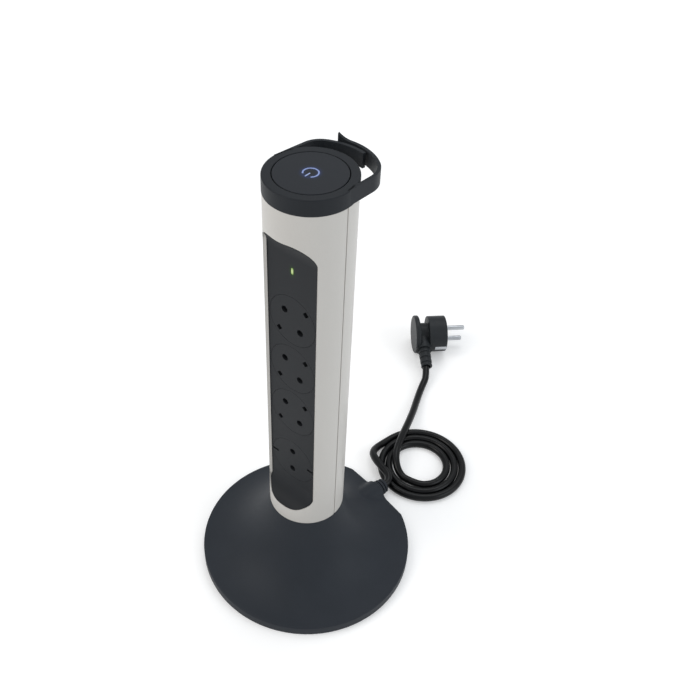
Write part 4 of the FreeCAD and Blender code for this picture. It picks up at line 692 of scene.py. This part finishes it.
@dataclass
class Studio:
    """Camera, floor and soft lamps."""

    eye: Point = (302.12, -351.56, 657.11)
    right: Point = (0.745878, 0.666083, 0.0)
    up: Point = (-0.456731, 0.511446, 0.727888)
    back: Point = (0.484833, -0.542915, 0.685697)
    lens: float = 47.49
    sensor: float = 36.0
    across: float = 0.0777
    upward: float = 0.0074
    floor_reach: float = 4.0
    paper: Pair = (0.86, 0.88)
    floor_light: Pair = (0.24, 0.8)
    horizon: Pair = (0.6, 1.8)
    sky: float = 0.62
    sky_colour: Colour = (0.96, 0.98, 1.0)
    aim: Point = (0.02, 0.03, 0.18)
    lamps: tuple[Lamp, ...] = (
        Lamp("key_lamp", (-0.9, -1.5, 1.7), 1.3, 17.0, (1.0, 0.965, 0.92)),
        Lamp("side_lamp", (1.7, 0.5, 1.1), 1.2, 9.0, (0.9, 0.955, 1.0)),
        Lamp("top_lamp", (-0.3, 0.9, 2.0), 1.0, 7.0, (0.97, 0.985, 1.0)),
    )

    def build(self) -> None:
        """Set up the whole studio."""
        self.camera()
        self.floor()
        self.world()
        for lamp in self.lamps:
            lamp.hang(self.aim)

    def camera(self) -> None:
        """Put the camera at the viewing angle."""
        data = bpy.data.cameras.new("camera")
        data.lens = self.lens
        data.sensor_width = self.sensor
        data.shift_x = self.across
        data.shift_y = self.upward
        data.clip_start = 0.01
        turn = Matrix((self.right, self.up, self.back)).transposed().to_4x4()
        bpy.context.scene.camera = stand("camera", data)
        bpy.context.scene.camera.matrix_world = shift(*self.eye) @ turn

    def floor(self) -> None:
        """Lay a pale floor that shows white and keeps the shadow."""
        bm = bmesh.new()
        bmesh.ops.create_grid(bm, x_segments=1, y_segments=1, size=self.floor_reach)
        item = stand("floor", bm)
        graph = Graph(bpy.data.materials.new("floor_paper"))
        seen = graph.ray("Camera").most(graph.ray("Glossy")).most(graph.ray("Transmission"))
        low, high = ((level, level, level) for level in self.paper)
        paper = graph.node("BsdfDiffuse", {"Color": graph.blend(graph.noise(300.0), low, high)})
        x, y, _ = graph.axes()
        near, rise = self.floor_light
        glow = seen * (((x * x + y * y) ** 0.5).ramp(*self.horizon) * rise + near)
        light = graph.node("Emission", {"Color": (1, 1, 1, 1), "Strength": glow})
        both = graph.node("AddShader", {0: paper.outputs[0], 1: light.outputs[0]})
        item.data.materials.append(graph.close(both))

    def world(self) -> None:
        """Light everything evenly from a pale sky that shows white."""
        graph = Graph(bpy.data.worlds.new("sky"))
        soft, white = (
            graph.node("Background", {"Color": (*colour, 1), "Strength": level}).outputs[0]
            for colour, level in ((self.sky_colour, self.sky), ((1, 1, 1), 1.0))
        )
        mix = graph.node("MixShader", {0: graph.ray("Camera"), 1: soft, 2: white})
        bpy.context.scene.world = graph.close(mix, "OutputWorld")
        bpy.context.scene.view_settings.view_transform = "Standard"


@dataclass
class MainsCord:
    """Mains cord that leaves the base, lies in a coil and ends in the plug."""

    radius: float = 3.4
    gland_reach: float = 89.0
    gland_height: float = 10.5
    heading: float = 80.0
    middle: Pair = (22.9, 131.7)
    coil_radius: float = 41.6
    pitch: float = 7.02
    turns: float = 2.72
    first_turn: float = 0.08
    start: float = 195.0
    tighten: float = 0.9
    tighten_turns: float = 0.5
    turn_points: int = 18
    straight: float = 3.4
    plug_reach: float = 8.0
    plug_inside: float = 1.0
    length: float = 0.80
    away: tuple[Point, ...] = (
        (15.2, 94.2, 10.9), (12.6, 97.6, 11.3), (9.0, 99.6, 11.5), (4.7, 101.0, 11.5),
        (-0.4, 102.6, 11.4), (-6.0, 104.7, 10.9), (-11.2, 107.5, 9.9), (-15.7, 111.2, 8.4),
        (-18.3, 116.2, 6.6), (-19.2, 121.8, 4.9), (-19.1, 127.9, 3.7),
    )
    home: tuple[Point, ...] = (
        (22.3, 110.4, 3.4), (16.5, 111.2, 4.2), (11.2, 113.4, 6.3), (6.8, 116.7, 8.6),
        (3.1, 120.9, 10.2), (-0.1, 126.2, 11.1), (-3.1, 133.0, 11.3), (-5.9, 140.4, 11.3),
        (-8.6, 147.9, 11.1), (-11.7, 156.9, 10.4), (-16.1, 168.8, 8.6), (-21.6, 182.4, 6.2),
        (-28.5, 197.5, 4.2), (-35.0, 213.3, 3.8),
    )

    def exit(self) -> Vector:
        """Give the point where the cord leaves the gland, in millimetres."""
        return Vector(polar(self.gland_reach, self.heading, self.gland_height))

    def spot(self, part: float, grow: float = 1.0) -> Vector:
        """Give a point of the coil after a number of turns."""
        late = max(0.0, part - self.turns + self.tighten_turns) / self.tighten_turns
        radius = (self.coil_radius - self.pitch * part - self.tighten * late ** 2) * grow
        x, y, _ = polar(radius, self.start - 360 * part)
        return Vector((self.middle[0] + x, self.middle[1] + y, self.radius))

    def points(self, plug: "MainsPlug") -> list[Point]:
        """Give the control points from the gland to the plug, in millimetres."""
        exit = self.exit()
        out = Vector(polar(self.straight, self.heading))
        grow = 1 / math.cos(math.pi / self.turn_points)
        count = round((self.turns - self.first_turn) * self.turn_points)
        step = (self.turns - self.first_turn) / count
        coil = [self.spot(self.first_turn + step * (number + 0.5), grow) for number in range(count)]
        placing = Matrix.Translation(plug.at) @ plug.turn()
        ends = [
            placing @ Vector((-plug.boot_place, -along, 0))
            for along in (plug.boot_end + self.plug_reach, plug.boot_start + self.plug_inside)
        ]
        points = [exit, exit + out, *map(Vector, self.away), *coil, *map(Vector, self.home), *ends]
        return [tuple(point) for point in points]

    def build(self, maker: Maker, plug: "MainsPlug") -> Piece:
        """Make the cord."""
        nodes = ("mains_cord_start", "mains_cord_coil", "mains_cord_end")
        return maker.line("mains_cord", self.points(plug), self.radius, Finish.CORD, *nodes)

    def declare(self, pieces: Sequence[Piece]) -> None:
        """Work out where the cord leaves the gland, in metres, and keep nothing."""
        tuple(self.exit() * MM)


@dataclass
class MainsPlug:
    """Moulded plug with a side boot, pins along its own +X."""

    at: Point = (-56.2, 280.3, 19.5)
    heading: float = 45.0
    roll: float = 14.0
    body_radius: float = 18.4
    body_length: float = 18.0
    neck_radius: float = 11.5
    neck_length: float = 9.0
    disc_radius: float = 19.5
    disc_thick: float = 5.0
    wall: float = 2.4
    housing_radius: float = 8.4
    housing_end: float = 20.0
    clip_width: float = 5.0
    clip_thick: float = 0.8
    clip_length: float = 12.0
    boot_place: float = 23.5
    boot_start: float = 12.0
    boot_end: float = 40.0
    boot_radius: float = 6.3
    boot_tip: float = 5.6
    bore: float = 3.5
    groove_first: float = 2.2
    groove_pitch: float = 6.0
    groove_width: float = 1.9
    groove_depth: float = 1.2
    face_depth: float = 3.2
    clip_edge: float = 0.35
    body_edge: float = 0.8
    rear_edge: float = 1.5
    boot_edge: float = 0.45

    def turn(self) -> Matrix:
        """Give the plug's heading and roll."""
        return turned(self.heading) @ turned(self.roll, "X")

    def boot(self) -> Mesh:
        """Turn the strain relief with its grooves."""
        low = self.boot_start
        profile = [(low, self.bore), (low, self.boot_radius)]
        for number in reversed(range(3)):
            near = self.boot_end - self.groove_first - number * self.groove_pitch
            far = near - self.groove_width
            wide = self._boot_width(far)
            profile += [(far, wide), (far, wide - self.groove_depth)]
            wide = self._boot_width(near)
            profile += [(near, wide - self.groove_depth), (near, wide)]
        profile += [(self.boot_end, self.boot_tip), (self.boot_end, self.bore)]
        bm = soften(lathe(profile, 64), self.boot_edge, 3)
        return place(bm, shift(*self.at) @ self.turn() @ shift(-self.boot_place, 0, 0) @ turned(90, "X"))

    def _boot_width(self, along: float) -> float:
        """Give the boot's radius at a place along it."""
        part = (along - self.boot_start) / (self.boot_end - self.boot_start)
        return self.boot_radius + (self.boot_tip - self.boot_radius) * part

    def cover(self) -> Mesh:
        """Shape the plug's body, neck, rear disc and boot housing."""
        neck = -self.body_length - self.neck_length
        rear = neck - self.disc_thick
        bm = lathe(stairs(
            rear, self.disc_radius, neck, self.neck_radius, -self.body_length, self.body_radius,
            0.0, self.body_radius - self.wall, -self.face_depth, 0.0,
        ))
        soften(bm, self.rear_edge, 5, lambda at: at.z < neck + 0.1 and at.xy.length > self.neck_radius + 1)
        soften(bm, self.body_edge, 4)
        place(bm, turned(90, "Y"))
        housing = rod(self.housing_radius, self.housing_end, (-self.boot_place, 0, 0), (0, -1, 0))
        hole = rod(self.boot_radius, self.boot_end, (-self.boot_place, -self.boot_start, 0), (0, -1, 0))
        bm = carve(carve(bm, Carve.JOIN, housing), Carve.CUT, hole)
        half = self.clip_width / 2
        for side in (-1, 1):
            deep, out = sorted((side * (self.body_radius - self.clip_thick), side * (self.body_radius + 1)))
            bm = carve(bm, Carve.CUT, block((-self.clip_length, deep, -half), (1, out, half)))
        return place(soften(bm, self.clip_edge, angle=50.0), shift(*self.at) @ self.turn())

    def build(self, maker: Maker) -> list[Piece]:
        """Make the plug's pieces."""
        return [
            maker.piece("plug_moulding", self.cover(), Finish.PLUG, "plug_cover"),
            maker.merged("plug_insert", "plug_face", Finish.PLUG),
            maker.piece("plug_boot", self.boot(), Finish.PLUG, "plug_strain_relief"),
            maker.merged("plug_pins", "plug_pin_pair", Finish.STEEL),
            maker.merged("plug_earth_clip", "plug_clip_pair", Finish.STEEL),
        ]


@dataclass
class Base:
    """Weighted bell with its plate, pads and cord gland."""

    gland_height: float = 10.5
    flat: float = 80.0
    wall: float = 2.6
    bore: float = 3.5
    neck: float = 5.2
    flange: float = 6.6
    flange_thick: float = 2.0
    slack: float = 0.1
    reach: float = 9.0
    rib: float = 2.0
    groove: float = 1.0
    rib_radius: float = 7.4
    rib_step: float = 0.5
    edge: float = 0.3
    turn: float = -10.0

    def gland(self) -> Mesh:
        """Turn the ribbed grommet."""
        near = self.flat - self.wall - self.slack
        far = near - self.flange_thick
        turns = [far, self.flange, near, self.neck]
        for number in range(3):
            near = self.flat + self.slack + number * (self.rib + self.groove)
            far, wide = near + self.rib, self.rib_radius - self.rib_step * number
            turns += [near, wide, far, self.neck]
        bm = soften(lathe(stairs(*turns, self.flat + self.reach, self.bore), 64), self.edge, 3)
        return place(bm, turned(self.turn) @ shift(0, 0, self.gland_height) @ turned(-90, "X"))

    def build(self, maker: Maker) -> None:
        """Make and dress the base."""
        maker.merged("base_cover", "base_bell", Finish.BASE)
        maker.piece("base_gland", self.gland(), Finish.BASE, "cord_gland")
        maker.dress(Finish.BASE, "base_plate")
        maker.dress(Finish.FOOT, "rubber_feet")
        maker.dress(Finish.STEEL, "base_screws", "base_weight", "clamp_screws")
        maker.dress(Finish.INNER, "cord_clamp")


@dataclass
class Column:
    """Two half shells on their foot."""

    radius: float = 29.2
    wall: float = 2.2
    low: float = 68.0
    high: float = 355.2
    window_z: Pair = (81.5, 332.9)
    window_half: float = 22.7
    window_corner: float = 16.5
    window_turn: float = 51.0
    window_reach: float = 40.0
    wedge_reach: float = 60.0
    seam: float = 0.8
    seam_depth: float = 1.0
    boss_place: float = 22.3
    boss_radius: float = 3.2
    boss_reach: float = 9.0
    boss_gap: float = 0.15
    head_radius: float = 2.7
    seam_edge: float = 0.15
    hole_edge: float = 0.3
    window_edge: float = 0.5
    boss_heights: Pair = (87.0, 320.0)

    def tube(self) -> Mesh:
        """Turn the tube of the column."""
        return lathe(stairs(self.low, self.radius, self.high, self.radius - self.wall), 256)

    def half(self, side: int) -> Mesh:
        """Keep the front (-1) or the rear (1) half of the tube, with its screw posts."""
        wide, tall = self.radius + 5, self.high + 5
        other = even(wide, (0, wide) if side < 0 else (-wide, 0), (0, tall))
        bm = carve(self.tube(), Carve.CUT, other)
        posts = self._rods(self.boss_radius, self.boss_reach - self.boss_gap, side * self.boss_gap, side, 24)
        return carve(bm, Carve.JOIN, *posts)

    def _rods(self, radius: float, length: float, start: float, way: int, steps: int) -> list[Mesh]:
        """Make a rod on each of the four screw places."""
        return [
            rod(radius, length, (x, start, height), (0, way, 0), steps)
            for x in (-self.boss_place, self.boss_place) for height in self.boss_heights
        ]

    def window(self) -> Mesh:
        """Shape the block that the window is cut with."""
        bm = slab(self.window_half, (-self.window_reach, 0), self.window_z, self.window_corner)
        wedge = bmesh.new()
        turn = math.radians(self.window_turn)
        spots = [(0, 0, 0)] + [
            (side * self.wedge_reach * MM * math.sin(turn), -self.wedge_reach * MM * math.cos(turn), 0)
            for side in (-1, 1)
        ]
        face = wedge.faces.new([wedge.verts.new(spot) for spot in spots])
        draw_out(wedge, [face], Vector((0, 0, BEYOND)) * MM)
        bmesh.ops.recalc_face_normals(wedge, faces=wedge.faces)
        return carve(bm, Carve.KEEP, wedge)

    def front(self) -> Mesh:
        """Cut the window and the seam groove into the front half."""
        wide = self.radius + 1
        groove = carve(
            even(wide, (-self.seam, 0.2), (self.low - 1, self.high + 1)), Carve.CUT,
            rod(self.radius - self.seam_depth, self.high * 2, steps=256),
        )
        bm = carve(self.half(-1), Carve.CUT, self.window(), groove)
        soften(bm, self.window_edge, 3, self._on_window)
        return soften(bm, self.seam_edge, 2, lambda at: self._on_seam(at, -self.seam))

    def _on_window(self, at: Vector) -> bool:
        """Tell whether a point is on the outer edge of the window."""
        low, high = self.window_z
        return at.y < -5 and low - 1 < at.z < high + 1 and close_to(at.xy.length, self.radius)

    def _on_seam(self, at: Vector, place_y: float) -> bool:
        """Tell whether a point is on the outer edge of a half at a place along Y."""
        return close_to(at.y, place_y, 0.05) and close_to(abs(at.x), self.radius)

    def rear(self) -> Mesh:
        """Bore the screw holes into the rear half."""
        holes = self._rods(self.head_radius, self.radius, self.boss_reach, 1, 32)
        bm = carve(self.half(1), Carve.CUT, *holes)
        soften(bm, self.hole_edge, 2, lambda at: at.y > 12 and abs(abs(at.x) - self.boss_place) < 3.5)
        return soften(bm, self.seam_edge, 2, lambda at: self._on_seam(at, 0.0))

    def build(self, maker: Maker) -> None:
        """Make and dress the column."""
        maker.piece("front_half", self.front(), Finish.SHELL, "front_shell", weighted=False)
        maker.piece("rear_half", self.rear(), Finish.SHELL, "rear_shell", weighted=False)
        maker.dress(Finish.STEEL, "column_screws", "foot_screws")
        maker.dress(Finish.INNER, "column_foot", "foot_lock_ring")


@dataclass
class SocketSide:
    """Panel with its four discs, their shutters and the lamp."""

    face: float = -16.5
    thick: float = 2.6
    radius: float = 26.85
    low: float = 75.0
    high: float = 339.4
    ramp_z: Pair = (100.5, 313.9)
    ramp_radius: float = 20.6
    fill_z: Pair = (81.65, 332.75)
    fill_half: float = 22.55
    fill_corner: float = 16.35
    fill_width: float = 20.75
    fill_radius: float = 28.95
    fill_reach: float = 40.0
    sockets: tuple[Pair, ...] = ((262.3, 135.0), (219.2, 135.0), (176.1, 135.0), (124.0, 90.0))
    disc_radius: float = 19.7
    disc_gap: float = 0.2
    disc_thick: float = 3.0
    skirt: float = 2.8
    skirt_wall: float = 1.3
    hub_radius: float = 5.4
    hub_length: float = 5.2
    pin_space: float = 19.0
    pin_radius: float = 2.6
    notch_place: float = 16.3
    notch_size: float = 3.6
    slot_start: float = 14.3
    slot_width: float = 2.0
    disc_travel: float = 9.0
    spring_end: float = 5.0
    lamp_height: float = 303.3
    lamp_width: float = 1.8
    lamp_length: float = 4.9
    lamp_depth: float = 10.3
    lamp_corner: float = 0.8
    edge: float = 0.25
    lamp_edge: float = 0.15

    def panel(self) -> Mesh:
        """Shape the panel, its ramps and its openings."""
        fill = slab(self.fill_half, (-self.fill_reach, 0), self.fill_z, self.fill_corner)
        narrow = even(self.fill_width, (-50, 0), (0, BEYOND))
        fill = carve(fill, Carve.KEEP, narrow, rod(self.fill_radius, BEYOND, steps=192))
        bm = carve(rod(self.radius, self.high - self.low, (0, 0, self.low), steps=192), Carve.JOIN, fill)
        wide = self.radius + 3
        bm = carve(
            bm, Carve.CUT,
            even(wide, (self.face + self.thick, wide), (self.low - 1, self.high + 1)),
            even(wide, (-wide, self.face), self.ramp_z),
        )
        for height in self.ramp_z:
            at = (-wide, self.face - self.ramp_radius, height)
            bm = carve(bm, Carve.CUT, rod(self.ramp_radius, wide * 2, at, (1, 0, 0), 160))
        wide, reach = self.disc_radius + self.disc_gap, self.fill_reach
        holes = [rod(wide, reach, (0, -reach, height), (0, 1, 0), 128) for height, _ in self.sockets]
        half, tall = self.lamp_width / 2 + 0.1, self.lamp_length / 2 + 0.1
        slot = even(half, (-30, 0), (self.lamp_height - tall, self.lamp_height + tall))
        bm = carve(bm, Carve.CUT, *holes, slot)
        return soften(bm, self.edge, 2, lambda at: at.y < self.face + 0.05, angle=50.0)

    def disc(self, height: float, pins: float) -> Mesh:
        """Shape the disc at a height, with its pin holes at an angle in degrees."""
        bm = lathe(stairs(
            0.0, self.disc_radius, self.disc_thick + self.skirt, self.disc_radius - self.skirt_wall,
            self.disc_thick, self.hub_radius, self.hub_length, 0.0,
        ))
        tools = []
        if pins == 90:
            start, end, half = self.slot_start, self.disc_radius + 1, self.slot_width / 2
        else:
            half = self.notch_size / 2
            start, end = self.notch_place - half, self.notch_place + half
        for side in (0, 180):
            spot = polar(self.pin_space / 2, -pins - side, -5)
            tools.append(rod(self.pin_radius, 20, spot, steps=48))
            tools.append(place(block((start, -half, -5), (end, half, 20)), turned(90 - pins - side)))
        bm = carve(bm, Carve.CUT, *tools)
        soften(bm, self.edge, 2, lambda at: at.z < 0.05, angle=50.0)
        return place(bm, shift(0, self.face, height) @ turned(-90, "X"))

    def lens(self) -> Mesh:
        """Shape the lamp's lens."""
        half, tall = self.lamp_width / 2, self.lamp_length / 2
        bm = slab(half, (0, self.lamp_depth), (-tall, tall), self.lamp_corner, 6)
        return place(soften(bm, self.lamp_edge, angle=60.0), shift(0, self.face, self.lamp_height))

    def build(self, maker: Maker) -> None:
        """Make and dress the socket side."""
        maker.piece("panel_moulding", self.panel(), Finish.PANEL, "socket_panel")
        for number, (height, pins) in enumerate(self.sockets, start=1):
            body = f"socket_disc_{number}"
            maker.piece(f"disc_{number}", self.disc(height, pins), Finish.DISC, body, body=body)
            maker.dress(Finish.SHUTTER, f"shutter_{number}")
            maker.spring(
                f"disc_spring_{number}", f"disc_{number}_coil",
            )
        maker.piece("lamp_lens", self.lens(), Finish.GREEN, "led_light_pipe")
        maker.dress(Finish.INNER, "socket_carrier", "carrier_back_cover")


@dataclass
class Cap:
    """Cap ring with its cable loop, the button and the lit symbol."""

    low: float = 355.2
    top: float = 366.4
    radius: float = 29.4
    spigot_radius: float = 26.85
    spigot_depth: float = 9.2
    hole: float = 23.45
    guide: float = 24.4
    guide_step: float = 12.2
    rounding: float = 0.8
    low_edge: float = 0.25
    inner_edge: float = 0.4
    symbol_edge: float = 0.08
    loop_edge: float = 0.35
    loop_root: float = 28.2
    loop_lift: float = 0.8
    loop_thick: float = 2.2
    loop_heading: float = 87.0
    loop_moves: tuple[Pair, ...] = ((0.0, 20.5), (16.9, 53.0), (36.9, 60.0))
    tail_place: float = 180.0
    tail_heading: float = 81.2
    tail_moves: tuple[Pair, ...] = ((0.0, 23.7), (14.2, -53.6), (40.6, -39.1))
    core_inset: float = 1.5
    fin_radius: float = 12.6
    fin_length: float = 9.0
    button_radius: float = 22.95
    button_thick: float = 3.0
    button_depth: float = 14.4
    button_skirt: float = 1.5
    button_flange: float = 1.0
    flange_thick: float = 1.5
    stem_radius: float = 5.0
    stem_length: float = 8.2
    button_travel: float = 2.6
    spring_low: float = 349.0
    symbol_outer: float = 5.3
    symbol_line: float = 1.0
    symbol_gap: float = 78.0
    symbol_depth: float = 1.5
    bar_start: float = 0.6

    def ring(self) -> Mesh:
        """Turn the ring with its spigot."""
        bm = lathe(stairs(
            self.low - self.spigot_depth, self.spigot_radius, self.low, self.radius, self.top, self.hole,
            self.top - self.guide_step, self.guide,
        ), 256)
        for width, steps, radius, height in (
            (self.rounding, 5, self.radius, self.top), (self.inner_edge, 3, self.hole, self.top),
            (self.low_edge, 2, self.radius, self.low),
        ):
            soften(bm, width, steps, lambda at: close_to(at.z, height) and close_to(at.xy.length, radius))
        return bm

    def band(
        self, start: Pair, heading: float, moves: Sequence[Pair], top: float,
    ) -> tuple[Mesh, Vector, float]:
        """Sweep an upright band along straight runs and arcs.

        Args:
            start: Where the band starts, across and away.
            heading: Direction in which it starts, in degrees.
            moves: Radius and turn of each arc, or 0 and the length of a straight run.
            top: Height of its upper edge.

        Returns:
            The band, the place of its end and its last heading.
        """
        bm = bmesh.new()
        spot, angle = Vector((*start, 0)) * MM, math.radians(heading)
        side = Vector((-math.sin(angle), math.cos(angle), 0)) * self.loop_thick / 2 * MM
        low, high = Vector((0, 0, (self.low + self.loop_lift) * MM)), Vector((0, 0, top * MM))
        corners = (low - side, low + side, high + side, high - side)
        face = bm.faces.new([bm.verts.new(spot + corner) for corner in corners])
        front = [face, *face.edges, *face.verts]
        for radius, amount in moves:
            ahead = Vector((math.cos(angle), math.sin(angle), 0))
            left = Vector((-ahead.y, ahead.x, 0)) * math.copysign(1, amount)
            if radius:
                middle = spot + left * radius * MM
                turn = math.radians(amount)
                front = bmesh.ops.spin(
                    bm, geom=front, cent=middle, axis=(0, 0, 1), angle=turn,
                    steps=max(6, round(abs(amount) / 3)), use_merge=False,
                )["geom_last"]
                spot = middle + Matrix.Rotation(turn, 3, "Z") @ (spot - middle)
                angle += turn
            else:
                front = draw_out(bm, front, ahead * amount * MM)
                spot = spot + ahead * amount * MM
        bmesh.ops.remove_doubles(bm, verts=bm.verts, dist=WELD)
        inner = [face for face in bm.faces if all(len(edge.link_faces) > 2 for edge in face.edges)]
        bmesh.ops.delete(bm, geom=inner, context="FACES_ONLY")
        bmesh.ops.recalc_face_normals(bm, faces=bm.faces)
        return bm, spot / MM, math.degrees(angle)

    def arm(self, top: float) -> tuple[Mesh, Vector, float]:
        """Sweep the long arm of the loop up to a height."""
        return self.band((self.loop_root, 0), self.loop_heading, self.loop_moves, top)

    def fin(self, end: Vector, heading: float) -> Mesh:
        """Shape the fin that rises at the end of the long arm."""
        rise = self.fin_radius - math.sqrt(self.fin_radius ** 2 - self.fin_length ** 2)
        bm, _, _ = self.arm(self.top + rise)
        length = self.fin_length
        keep = block((-length, -length, self.low + self.loop_lift), (0, length, self.top + rise))
        start = (-length, -length * 2, self.top + self.fin_radius)
        bowl = rod(self.fin_radius, length * 4, start, (0, 1, 0), 160)
        across = shift(end.x, end.y, 0) @ turned(heading)
        return carve(carve(bm, Carve.KEEP, place(keep, across)), Carve.CUT, place(bowl, across))

    def loop(self) -> Mesh:
        """Join the arms of the cable loop with its fin and the ring."""
        arm, end, heading = self.arm(self.top)
        start = polar(self.loop_root, self.tail_place)[:2]
        tail, _, _ = self.band(start, self.tail_heading, self.tail_moves, self.top)
        core = rod(self.radius - self.core_inset, BEYOND, steps=128)
        bm = carve(carve(arm, Carve.JOIN, self.fin(end, heading), tail), Carve.CUT, core)
        return soften(bm, self.loop_edge, angle=50.0)

    def button(self) -> Mesh:
        """Turn the button and sink the place of its symbol."""
        low, under = self.top - self.button_depth, self.top - self.button_thick
        bm = lathe(stairs(
            low, self.button_radius + self.button_flange, low + self.flange_thick, self.button_radius,
            self.top, 0.0, under - self.stem_length, self.stem_radius,
            under, self.button_radius - self.button_skirt,
        ), 192)
        soften(bm, self.inner_edge, 3, lambda at: close_to(at.z, self.top))
        return carve(bm, Carve.CUT, *self.symbol_parts(0.02, 3.0))

    def symbol_parts(self, grow: float, above: float) -> list[Mesh]:
        """Shape the ring and the bar of the symbol, all sides grown and the top raised."""
        ring = bmesh.new()
        low, high = self.top - self.symbol_depth - grow, self.top + above
        inner, outer = self.symbol_outer - self.symbol_line - grow, self.symbol_outer + grow
        open_at = -90 + self.symbol_gap / 2
        corners = [(inner, low), (outer, low), (outer, high), (inner, high)]
        rim = [ring.verts.new(Vector(polar(radius, open_at, z)) * MM) for radius, z in corners]
        end = ring.faces.new(rim)
        bmesh.ops.spin(
            ring, geom=[end, *end.edges, *end.verts], cent=(0, 0, 0), axis=(0, 0, 1),
            angle=math.radians(360 - self.symbol_gap), steps=72, use_merge=False,
        )
        bmesh.ops.recalc_face_normals(ring, faces=ring.faces)
        half = self.symbol_line / 2 + grow
        return [ring, even(half, (-self.symbol_outer - grow, -self.bar_start + grow), (low, high))]

    def symbol(self) -> Mesh:
        """Join the symbol's parts and ease their edges."""
        ring, bar = self.symbol_parts(0.0, 0.0)
        return soften(carve(ring, Carve.JOIN, bar), self.symbol_edge, angle=50.0)

    def build(self, maker: Maker) -> None:
        """Make and dress the cap."""
        button = Body.BUTTON.value
        maker.piece("cap_ring", self.ring(), Finish.CAP, "top_cap")
        maker.piece("cable_loop", self.loop(), Finish.CAP, "top_cap")
        maker.piece("button", self.button(), Finish.BUTTON, "push_button", body=button)
        maker.piece("lit_symbol", self.symbol(), Finish.BLUE, "power_symbol_light_guide", body=button)
        maker.dress(Finish.INNER, "switch_bracket", "power_switch", "switch_plunger")
        maker.dress(Finish.BOARD, "button_light_board")
        maker.spring(
            "button_spring", "button_coil",
        )


@dataclass
class Inside:
    """Lead, wires, bus bars and boards inside the column."""

    turn: float = -10.0
    cord_radius: float = 3.4
    lead: tuple[Point, ...] = ((0, 89, 10.5), (0, 41, 10.5), (0, 7, 10.5), (0, 7, 44.5), (0, 7, 80))
    wire_radius: float = 1.2
    core_place: float = 7.0
    core_close: float = 2.0
    core_space: float = 5.0
    core_back: float = 0.3
    core_straight: float = 1.5
    core_low: float = 80.0
    core_high: float = 88.0
    switch_space: float = 4.0
    switch_route: tuple[Pair, ...] = ((12, 93), (18, 93), (18, 314), (5, 326), (5, 335))
    wires: tuple[tuple[str, str, Finish, int], ...] = (
        ("live_core", "switch_feed", Finish.BROWN, -1), ("earth_core", "", Finish.EARTH, 0),
        ("neutral_core", "switch_return", Finish.NEUTRAL, 1),
    )

    def build(self, maker: Maker) -> None:
        """Make and dress the inner parts."""
        maker.dress(Finish.BRASS, "live_busbar", "neutral_busbar", "earth_busbar")
        maker.dress(Finish.INNER, "terminal_block")
        maker.dress(Finish.BOARD, "surge_board")
        turn = turned(self.turn)
        lead = [tuple(turn @ Vector(point)) for point in self.lead]
        maker.line("inner_cord", lead, self.cord_radius, Finish.CORD, "inner_lead")
        middle = turn @ Vector((0, self.core_place, 0))
        back = middle.y - self.core_back
        for name, _, finish, side in self.wires:
            close, wide = middle.x + side * self.core_close, side * self.core_space
            core = [
                (close, middle.y, self.core_low), (close, middle.y, self.core_low + self.core_straight),
                (wide, back, self.core_high - self.core_straight), (wide, back, self.core_high),
            ]
            maker.line(name, core, self.wire_radius, finish, "inner_wires")
        for _, name, finish, side in self.wires:
            if name:
                points = [(side * self.switch_space, *spot) for spot in self.switch_route]
                maker.line(name, points, self.wire_radius, finish, "inner_wires")


def main() -> None:
    """Build the lead in order and log how many pieces are new."""
    logging.basicConfig(level=logging.INFO, format="%(name)s %(message)s")
    maker = Maker()
    Studio().build()
    plug = MainsPlug()
    mains = MainsCord()
    cord = mains.build(maker, plug)
    mains.declare(plug.build(maker))
    Base().build(maker)
    Column().build(maker)
    SocketSide().build(maker)
    Cap().build(maker)
    Inside().build(maker)
    LOG.info("%d new pieces", len(maker.made))


if __name__ == "__main__":
    main()
